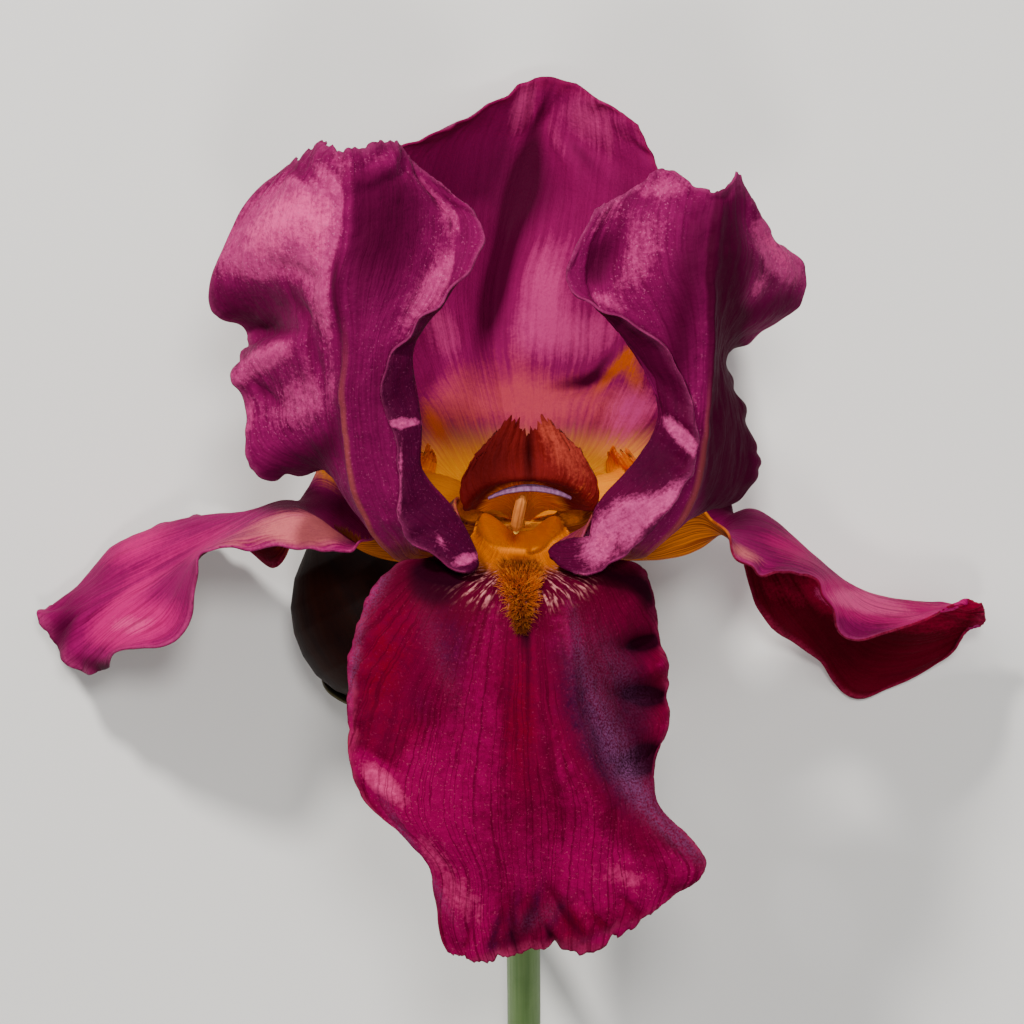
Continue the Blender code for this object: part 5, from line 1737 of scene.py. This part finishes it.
    def front_fall(self) -> Petal:
        """Describe the hanging petal in front.

        Returns:
            The petal.
        """
        return Petal(
            "fall_front", FALL_FRONT, "fall_velvet", 230, 170, 11, crinkle=0.09, middle=0.465,
            margin=Margin(0.45, 12, 0.008, 110, 0.012), side=-1.0, keels=((0.655, 0.035, 0.7),),
            notches=((0.535, 0.022, 0.020), (0.30, 0.008, 0.02), (0.74, 0.012, 0.016)),
            folds=patches(
                (20.5, -19.6, 10, 4.5, 1.5, -1.6), (20.0, -27.6, -5, 4.5, 1.6, -1.8),
                (20.0, -37.2, 15, 4.5, 2.0, -1.8), (21.5, -23.6, 10, 3.5, 1.6, 1.1),
                (21.5, -32.4, 5, 3.5, 1.8, 1.1), (-20.5, -36.5, -30, 5, 1.0, -0.9),
                (-20, -41, -45, 4, 1.6, 0.8), (6.5, -59, -65, 5, 0.9, -0.9), (3.0, -60, -80, 4, 0.8, 0.7),
                (-12, -55, -65, 9, 0.9, 0.7), (0.0, -62.5, -75, 4, 0.8, -0.9),
                (10.5, -60, -60, 4, 0.8, 0.6), (-6.5, -63.5, 75, 3.6, 0.8, -0.8),
                (5.6, -63.5, -60, 3.4, 0.8, -0.9), (13.5, -61.5, -50, 3.4, 0.8, -0.8),
                (17.5, -58.5, -50, 3, 0.7, -0.7), (-22.0, -28, 30, 3, 0.6, 0.4),
                (-22.3, -31, 25, 3, 0.6, 0.4), (-22.0, -24.5, 30, 3, 0.6, 0.35),
            ),
            # Painted light on the left and lower blade, painted shade beyond the ridge and in the margin's
            # recesses, and painted cast shadows under the standards' curls at the top.
            tones=patches(
                (-10, -44, 72, 13, 7.5, 1.0), (4, -53, 85, 8, 8, 0.6), (14, -54, -38, 9, 4.5, 0.7),
                (-8, -59, 85, 8, 3.6, 1.0), (-12, -52, -60, 7, 2.5, 0.6), (-4.5, -61, 85, 5, 2.2, 0.8),
                (12, -58, -70, 5, 3, 0.6), (19.5, -55.2, -40, 6, 2.8, 0.9), (-14, -38, 60, 5, 3, 0.5),
                (-5, -28, -80, 9, 3, 0.45), (-3, -17, 85, 5, 2.5, 0.5), (8, -17, -80, 5, 3, 0.5),
                (11, -43, -65, 8, 2.5, 0.5), (6, -35, -78, 9, 1.6, 0.35),
                (-20.0, -40.0, -44, 5.4, 2.1, 1.7, 0, 0.4, 1.5), (-21.3, -12.6, 62, 4, 0.5, 1.5),
                (-24.2, -21.5, 85, 5, 0.45, 1.5), (-24.2, -30, 92, 4, 0.45, 1.4),
                (-16.8, -48.3, -55, 5, 0.4, 1.3), (25.5, -53, -40, 4.5, 1.8, 1.1),
                (15, -63.2, 22, 7, 1.0, 0.8), (-8, -66, 5, 4.5, 1.2, 0.6),
                (18.5, -26, 85, 11, 4.6, -0.40, 0.66, 1, 1.5), (19, -34, 80, 8, 4.0, -0.35, 0.66, 1),
                (20.3, -19.8, 10, 3.4, 1.3, -1.3, 0, 1, 1.6),
                (20.3, -27.8, -8, 3.8, 1.5, -1.3, 0, 1, 1.6),
                (20.0, -37.2, 20, 4.2, 2.3, -1.3, 0, 1, 1.6), (22.8, -14.6, -70, 3.6, 0.4, 1.3),
                (24.0, -23.6, -88, 2.2, 0.4, 1.2), (22.3, -23.5, 0, 2.2, 1.7, 0.7),
                (22.6, -32.5, 60, 2.6, 1.9, 0.6), (2.4, -25, 90, 9, 0.4, -0.6),
                (-0.6, -30, 86, 10, 0.4, -0.4), (5.6, -32, -84, 10, 0.4, -0.4),
                (2.4, -60.5, 75, 3.6, 1.1, -0.9), (8.5, -60, -60, 4.0, 0.8, -0.9),
                (-11.0, -62, -80, 4, 0.6, -0.8), (-2.2, -62, 70, 3.2, 0.5, -0.8),
                (0.2, -64, -75, 2.6, 0.6, -0.9), (-6.5, -63.5, 75, 3, 0.5, -0.7),
                (5.6, -63, -60, 3, 0.5, -0.9), (13.5, -61.5, -50, 3, 0.6, -0.8),
                (17.5, -58.5, -50, 2.6, 0.5, -0.7), (-11.6, -10.6, -25, 4.4, 3.6, -0.85, 0, 0.5, 3),
                (15.5, -9.8, -18, 6, 1.7, -1.0), (20.5, -13, -60, 4, 1.4, -0.8),
                (-9.5, -9.5, -10, 5, 1.3, -0.8), (-23.8, -47, -60, 5, 1.0, -0.9),
                (1.8, -18, 90, 2.6, 0.8, -0.9),
            ),
            # Violet painted shade beyond the ridge and in the crinkles at the tip.
            hue_and_shade_patches=patches(
                (-8.5, -20, -80, 7, 3.2, 0.65), (9.5, -27, -75, 11, 2.8, 0.75),
                (18, -29, 85, 12, 5, 0.5, 0.66, 1), (0.4, -59.5, 80, 5, 1.0, 0.8),
                (3.6, -58, 72, 5, 0.9, 0.8), (6.6, -60.5, 65, 4, 0.8, 0.7), (-2.6, -62, 80, 4, 0.9, 0.7),
                (-4, -65, 10, 4, 1.0, 0.6), (12, -63.5, 20, 5, 0.9, 0.5), (13, -36, -60, 9, 2.4, 0.6),
                (-13, -30, -60, 7, 2.5, 0.4), (-17.5, -11, 70, 5, 2.5, 0.3),
            ),
            # Painted sheen along the ridge, and painted highlights on the left margin.
            painted_sheen_patches=patches(
                (9.6, -19, -80, 5, 1.0, 0.40), (12.2, -28, -68, 7, 2.0, 0.62),
                (15.2, -35.5, -60, 6, 2.5, 0.72), (18.6, -41.5, -52, 5, 1.7, 0.75),
                (24.6, -48.3, -42, 5.5, 1.3, 0.75), (15.5, -24, -60, 7, 2.6, 0.42),
                (-14.2, -51.5, -60, 8, 0.7, 0.9), (4, -60.5, 30, 4, 1.4, 0.25),
                (-10.5, -22, -70, 8, 1.8, 0.15), (-20.5, -11.5, 65, 5, 1.2, 0.75),
                (-24, -24, 80, 8, 0.8, 0.7),
            ),
            warms=patches(
                (-19, -22, 80, 12, 4.5, 0.7), (1.3, -31, 90, 12, 3, 0.7), (-14, -34, 60, 7, 3, 0.4),
                (22, -27, 90, 9, 2, 0.5), (12, -60, 20, 7, 3, 0.5),
            ),
        )

    def left_standard(self) -> Petal:
        """Describe the upright petal on the left.

        Returns:
            The petal.
        """
        return Petal(
            "standard_left", STANDARD_LEFT, "standard_velvet", 190, 160, 21, crinkle=0.15, middle=0.525,
            margin=Margin(0.55, 15, 0.011, 90, 0.014), keels=((0.525, 0.022, 0.9),),
            folds=patches(
                (-31.5, 50.5, -50, 4, 0.8, -0.5), (-29.3, 50, -52, 3.5, 0.6, -0.4),
                (-37, 28.0, -5, 6, 1.3, -0.8, 0, 0.45), (-38.5, 24.0, 20, 5, 1.8, 0.8, 0, 0.45),
                (-38.0, 18.3, -40, 3.0, 0.9, -0.8, 0, 0.4), (-29.8, 24, -76, 7, 0.8, -0.6, 0, 0.5),
                (-31.7, 31, -60, 4, 0.7, -0.5), (-27.8, 30, -80, 8, 0.9, 0.5, 0, 0.5),
                (-33, 36.5, -25, 5, 1.2, -0.7, 0, 0.45), (-40, 33, -8, 7, 2.5, -0.3, 0, 0.4),
                (-10, 46.5, -45, 4, 1.0, -0.6, 0.55, 0.86), (-8.5, 43.5, -40, 4, 0.9, 0.5, 0.55, 0.86),
                (-14, 50.5, -40, 4, 0.8, -0.5, 0.55, 0.86),
            ),
            # Painted light on the left half and the curled edge, painted shade on the right half, in the
            # folds and the dark band.
            tones=patches(
                (-34, 43, 25, 12, 6.5, 1.25, 0, 0.5, 1.5), (-35, 45, 35, 8, 4, 0.7, 0, 0.5),
                (-28.3, 38, 82, 12, 3.2, 0.85, 0, 0.5), (-31.5, 50.5, -50, 4, 0.8, -0.8),
                (-29.3, 50, -52, 3.5, 0.6, -0.7), (-26.5, 50.8, -60, 3, 0.7, -0.5),
                (-33, 40, -40, 3, 0.8, -0.3), (-40.5, 32.4, -8, 9.5, 3.5, -0.6, 0, 0.42, 2),
                (-36, 28.0, -10, 5, 1.2, -0.5, 0, 0.45), (-38, 23.6, 22, 5, 1.9, 1.0, 0, 0.45, 1.5),
                (-42, 20.6, 0, 2, 1.2, 0.7), (-38, 18.3, -40, 3, 0.8, -0.6, 0, 0.4),
                (-31.5, 17, 20, 7, 4, 0.75, 0, 0.48), (-41, 14, 80, 5, 0.9, 0.6, 0, 0.3),
                (-33, 7.6, 20, 8.5, 3.2, -0.8, 0, 0.5, 1.5), (-27, 12.5, 60, 4.5, 2, -0.5, 0, 0.5),
                (-29.8, 24, -76, 7, 0.7, -0.5, 0, 0.5), (-31.7, 31, -60, 4, 0.6, -0.5),
                (-27.9, 30, -80, 8, 1.0, 0.45, 0, 0.5), (-26.1, 32, -87, 9, 1.0, -0.8, 0.3, 0.53),
                (-19.5, 43, 90, 13, 6.5, -0.75, 0.53, 1.0, 1.5), (-21, 22, 90, 16, 3, -0.45, 0.53, 0.87),
                (-11.3, 34.4, 50, 9.5, 1.9, 1.1, 0.55, 0.88), (-7.6, 44.5, -35, 4, 2.2, 0.85, 0.55, 0.9),
                (-13.5, 37, 60, 9, 3.0, 0.45, 0.55, 0.88), (-21, 27, 85, 10, 1.6, 0.45, 0.53, 0.75),
                (-15, 50.8, -32, 5, 1.2, 0.65, 0.55, 0.9), (-21.5, 52.7, 15, 3.8, 1.5, 0.75, 0.5, 0.9),
                (-16.4, 13.4, 5, 2.6, 0.7, 1.2, 0.8, 1, 2), (-17.0, 3.5, 88, 8, 0.35, 0.9, 0.8, 1),
                (-7, -7.2, 22, 2.2, 0.8, 1.2, 0.8, 1, 2), (-10.7, -4.6, -60, 1.6, 0.5, 0.8, 0.8, 1),
            ),
            warms=patches((-6.6, 0.4, -30, 2.0, 1.7, 1.6, 0.78, 1, 2)),
            # Violet painted shade on the curled margin and the right half.
            hue_and_shade_patches=patches(
                (-16, 15, 90, 16, 8, 0.9, 0.875, 1.0, 2), (-9, -3, -50, 9, 7, 0.9, 0.86, 1, 2),
                (-6.6, 0.4, -30, 2.0, 1.7, -1.5, 0.78, 1, 2), (-18, 43, 90, 14, 8, 0.35, 0.53, 1.0),
                (-36, 22, 70, 16, 8, 0.12, 0, 0.5),
            ),
        )

    def right_standard(self) -> Petal:
        """Describe the upright petal on the right.

        Returns:
            The petal.
        """
        return Petal(
            "standard_right", STANDARD_RIGHT, "standard_velvet", 190, 160, 31, crinkle=0.14, middle=0.557,
            margin=Margin(0.5, 14, 0.011, 90, 0.016), keels=((0.557, 0.022, 0.9),),
            folds=patches(
                (14, 38.5, 70, 4.5, 2.6, -1.6, 0.1, 0.45), (19.5, 46.5, -20, 2.5, 1.0, -0.7, 0, 0.5),
                (26.5, 44, 80, 6, 0.8, -0.4, 0.2, 0.5), (23.5, 36, 70, 6, 1.0, 0.4, 0.2, 0.5),
                (17.5, 0.5, 30, 3, 0.8, -0.6, 0, 0.35), (20.3, -3.0, 60, 3, 0.7, -0.7, 0, 0.35),
                (15.5, -4.0, 80, 2.5, 0.8, 0.6, 0, 0.35), (40, 33, 20, 6, 1.8, -0.9, 0.65, 1),
            ),
            # Painted light on the left half and the right lobe, painted shade right of the midrib and in
            # the dimple.
            tones=patches(
                (18.5, 38.5, 62, 8, 3.6, 0.7, 0.1, 0.5), (12, 44.8, 25, 4, 2.4, 0.8, 0.05, 0.5),
                (23, 48.7, 8, 7, 2.4, 0.6, 0.1, 0.55), (13, 32.3, -28, 6, 1.3, 0.8, 0.12, 0.45),
                (9.3, 38, 80, 4, 0.9, 0.7, 0.1, 0.3), (13.6, 38.0, 65, 5.0, 2.8, -0.95, 0.1, 0.4, 1.5),
                (19.5, 46.5, -20, 2.5, 1.0, -0.6), (26.3, 33, 80, 16, 3.0, -0.8, 0.2, 0.557),
                (32.2, 33, 88, 19, 4.0, -1.0, 0.53, 1, 1.5), (40.2, 40, -45, 6.2, 2.8, 1.5, 0.66, 1, 1.5),
                (37, 34.2, 60, 2.4, 1.1, 1.1, 0.6, 0.95), (40.5, 31.6, 20, 6.5, 2.2, -0.7, 0.6, 1, 1.5),
                (33.5, 12, 85, 13, 5.5, -1.1, 0.557, 1, 1.5), (33, 2, 60, 6, 4, -0.9, 0.557, 1),
                (19.5, 24.5, -50, 9.5, 2.4, -0.7, 0, 0.30), (25.6, 11.4, -50, 3.9, 1.3, 1.3, 0, 0.5, 2),
                (27.3, 17.0, 90, 1.1, 0.6, 0.9, 0, 0.5), (17, -1.6, 38, 6.5, 3.4, 1.15, 0, 0.4, 1.5),
                (13, -5.8, 70, 3, 2, 0.8, 0, 0.4), (23.6, 2.0, 50, 4, 1.6, 0.9, 0, 0.4),
                (20.4, -3.2, 60, 3, 0.6, -0.7, 0, 0.4), (21.5, 6.8, 40, 5, 2.6, -0.5, 0, 0.35),
                (25, 20, 85, 8, 1.8, -0.4, 0.17, 0.5), (16.0, -3.6, 75, 2.6, 0.5, -0.5, 0, 0.4),
                (33.8, 51, 75, 4, 1.3, 0.5, 0.56, 1),
            ),
            warms=patches((9.4, 0.2, 0, 1.8, 1.9, 1.6, 0, 0.2, 2)),
            # Violet painted shade on the rolled flap and right of the midrib.
            hue_and_shade_patches=patches(
                (21.5, 7, 60, 6, 4.5, 0.8, 0, 0.35), (32, 35, 90, 15, 3.5, 0.4, 0.557, 0.85),
                (20, 24, -50, 9, 3, 0.4, 0, 0.25),
            ),
        )

    def back_standard(self) -> Petal:
        """Describe the upright petal at the back.

        Returns:
            The petal.
        """
        return Petal(
            "standard_back", STANDARD_BACK, "standard_velvet", 170, 132, 41, crinkle=0.08, middle=0.467,
            margin=Margin(0.5, 12, 0.008, 40, 0.005), keels=((0.467, 0.03, 1.0),), side=-1.0,
            folds=patches(
                (10.5, 20.5, 12, 5, 1.4, 1.6), (14.5, 16.8, 52, 5, 1.3, -1.6),
                (16, 18.2, 55, 4, 1.0, 1.0), (2, 67.5, 75, 5, 2.0, -1.0), (5.6, 66, 62, 5, 0.9, 1.0),
                (-12.5, 21, 60, 3, 2, 0.9), (9, 61, -70, 6, 1.6, -0.8), (15, 60, -40, 5, 2, 0.9),
            ),
            # Painted shade on the left half and in the groove, painted light on the right half.
            tones=patches(
                (-9, 52, 35, 14, 9, -0.40, 0, 0.5, 2), (-8, 42, 90, 10, 5, -0.30, 0, 0.5),
                (0.0, 48.6, 75, 22, 2.2, -1.1), (3.5, 54, 85, 8, 5, -0.8), (-2.8, 37, 78, 9, 2.2, -0.9),
                (1.8, 67.5, 75, 5, 2.3, 0.8, 0, 1, 2), (13, 66, -35, 8, 4.5, 0.65),
                (7.3, 63, -70, 5.5, 1.5, 0.6), (5.0, 68, 62, 4.6, 0.6, -0.8),
                (5.5, 38, 84, 10, 4.0, 0.95), (10, 29, 0, 9, 4.5, 0.75), (-11.5, 30, -60, 6, 3.5, 0.7),
                (11.5, 21.5, 12, 4, 1.1, -1.0), (14.6, 23.8, 50, 4, 0.8, -0.9),
                (19.5, 16.5, 40, 5, 3.5, 0.9), (20, 50, -80, 6, 2.5, -0.5), (12, 60, -50, 4, 1.0, -0.5),
            ),
            hue_and_shade_patches=patches(
                (10, 17.5, 0, 11, 4.6, 0.62), (19, 16, 40, 5, 4, 0.6), (-9, 20, 50, 6, 4, 0.55),
                (0, 17.5, 0, 10, 4.6, 0.62), (2, 25, 80, 7, 5, 0.35),
            ),
            warms=patches(
                (16.3, 22.5, 50, 6, 1.0, 1.1), (20, 22, -75, 5, 1.8, 0.8), (-7.5, 16.5, 0, 6, 4, 0.55),
                (-12.5, 14, -60, 4, 1.5, 0.8),
            ),
        )

    def left_fall(self) -> Petal:
        """Describe the hanging petal on the left.

        Returns:
            The petal.
        """
        return Petal(
            "fall_left", FALL_LEFT, "fall_velvet", 200, 110, 51, margin=Margin(0.6, 11, 0.010, 40, 0.004),
            # Painted light on the top of the blade, painted shade on the dark band and under the curled
            # tip.
            tones=patches(
                (-62, -18.5, 12, 8, 3.2, 1.6, 0, 0.6), (-61.6, -12.4, 35, 6, 1.8, 1.0),
                (-62, -5.5, 25, 7, 3, 0.9, 0.5, 1), (-50, -5, 25, 8, 2, 0.7),
                (-37, 2.5, -8, 11, 3.2, -1.2, 0.3, 1, 1.5), (-75, -20, 60, 5, 2.5, -0.9),
                (-67, -25.5, -10, 6, 1.6, -1.0), (-59, -10, 30, 9, 0.5, -0.6),
            ),
            # Violet painted shade on the dark band and the tip.
            hue_and_shade_patches=patches((-37, 2.5, -8, 11, 3.2, 0.6, 0.3, 1), (-75, -20, 60, 5, 2.5, 0.5)),
            # Painted light on the rolled near margin.
            painted_sheen_patches=patches(
                (-33, -2.8, -2, 8, 2.6, 1.2, 0, 0.42, 1.5), (-44, -5.0, 20, 4, 1.5, 0.5, 0, 0.3),
            ),
            warms=patches((-27, 6, -20, 6, 2.5, 1.2, 0.5, 1)),
        )

    def right_fall(self) -> Petal:
        """Describe the hanging petal on the right.

        Returns:
            The petal.
        """
        return Petal(
            "fall_right", FALL_RIGHT, "fall_velvet", 200, 110, 61, middle=0.472,
            margin=Margin(0.6, 11, 0.010, 40, 0.005), side=-1.0,
            # Painted light on the top of the blade, painted shade at the haft.
            tones=patches(
                (45, -6, -25, 6, 2.4, 0.9), (58, -15.0, -12, 12, 2.6, 2.3), (75, -14.5, 0, 4, 2.5, 1.3),
                (35, 0.5, -20, 5, 2.5, -0.9), (48, -13, -50, 4, 1.5, -0.6),
            ),
            # Violet painted shade at the haft.
            hue_and_shade_patches=patches((36, 0, -25, 7, 3, 0.5)),
            # Painted sheen on the haft and the blade.
            painted_sheen_patches=patches((36.5, -6.5, -25, 3.5, 1.0, 0.9), (66, -15.5, 5, 8, 1.5, 0.3)),
        )

    def petals(self) -> list[tuple[Petal, PetalFinish, PetalFinish]]:
        """List the petals with their finishes.

        Returns:
            Each petal, the finish of the side of its normals and that of the other side.
        """
        return [
            (self.front_fall(), self.fall_under, self.fall_upper),
            (self.left_standard(), self.standard_outer, self.standard_inner),
            (self.right_standard(), self.standard_outer, self.standard_inner),
            (self.back_standard(), self.back_inner, self.standard_outer),
            (self.left_fall(), self.side_upper, self.fall_under),
            (self.right_fall(), self.fall_under, self.side_upper),
        ]

    def crest_tones(self) -> tuple[tuple[Patch, ...], tuple[Patch, ...]]:
        """Describe the painted light and shade of the front crest.

        Returns:
            Its patches of painted light and painted shade, and its orange ones.
        """
        tones = patches(
            (-4.5, 7.0, 45, 7, 4.0, -0.62), (2.6, 9.0, 90, 6, 0.9, -0.9), (8.2, 9.0, -55, 6.5, 3.0, 0.65),
            (4.8, 13.0, -60, 2.5, 1.2, 0.4), (0.5, 11.0, 60, 2.5, 0.9, 0.2),
        )
        return tones, patches((10.5, 4.5, -70, 4.5, 1.8, 0.25))

    def build(self, bench: Bench) -> None:
        """Model and dress every piece.

        Args:
            bench: Where they are made.
        """
        made: dict[str, bpy.types.Material] = {}
        for petal, near, far in self.petals():
            for finish in (near, far):
                if finish.name not in made:
                    made[finish.name] = finish.make()
            petal.build(bench, made[near.name], made[far.name])
        hair = self.hair.make()
        Beard("front", FALL_FRONT, -1.0, 0.185, 0.375, 0.100, 2600, 3.0, 5, 0.465).build(bench, hair)
        Beard("left", FALL_LEFT, 1.0, 0.10, 0.33, 0.07, 700, 2.0, 6).build(bench, hair)
        Beard("right", FALL_RIGHT, -1.0, 0.10, 0.33, 0.07, 700, 2.0, 7, 0.472).build(bench, hair)
        crest, arm, golden = self.crest.make(), self.arm.make(), self.golden.make()
        lip, thread, pollen = self.lip.make(), self.thread.make(), self.pollen.make()
        for whorl in Whorl:
            tones, warms = self.crest_tones() if whorl is Whorl.FRONT else ((), ())
            near, far = (crest, arm) if whorl is Whorl.FRONT else (golden, golden)
            StyleArm(whorl, tones=tones, warms=warms).build(bench, near, far, lip)
            Stamen(whorl).build(bench, thread, pollen)
        green, papery, skin, tube = (
            finish.make() for finish in (self.green, self.papery, self.bud_skin, self.tube))
        Stalk().build(bench, green, tube, papery)
        Bud().build(bench, skin, papery, green)


def main() -> None:
    """Build the bloom piece by piece, then the studio."""
    logging.basicConfig(level=logging.INFO, format="%(message)s")
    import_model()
    bench = Bench()
    points, _, _ = Stalk().tube().rings_of(17, 8)
    bench.seat("perianth_tube", points.reshape(-1, 3).min(axis=0))
    Bloom().build(bench)
    Studio().build(bench)
    bpy.context.view_layer.update()


if __name__ == "__main__":
    main()
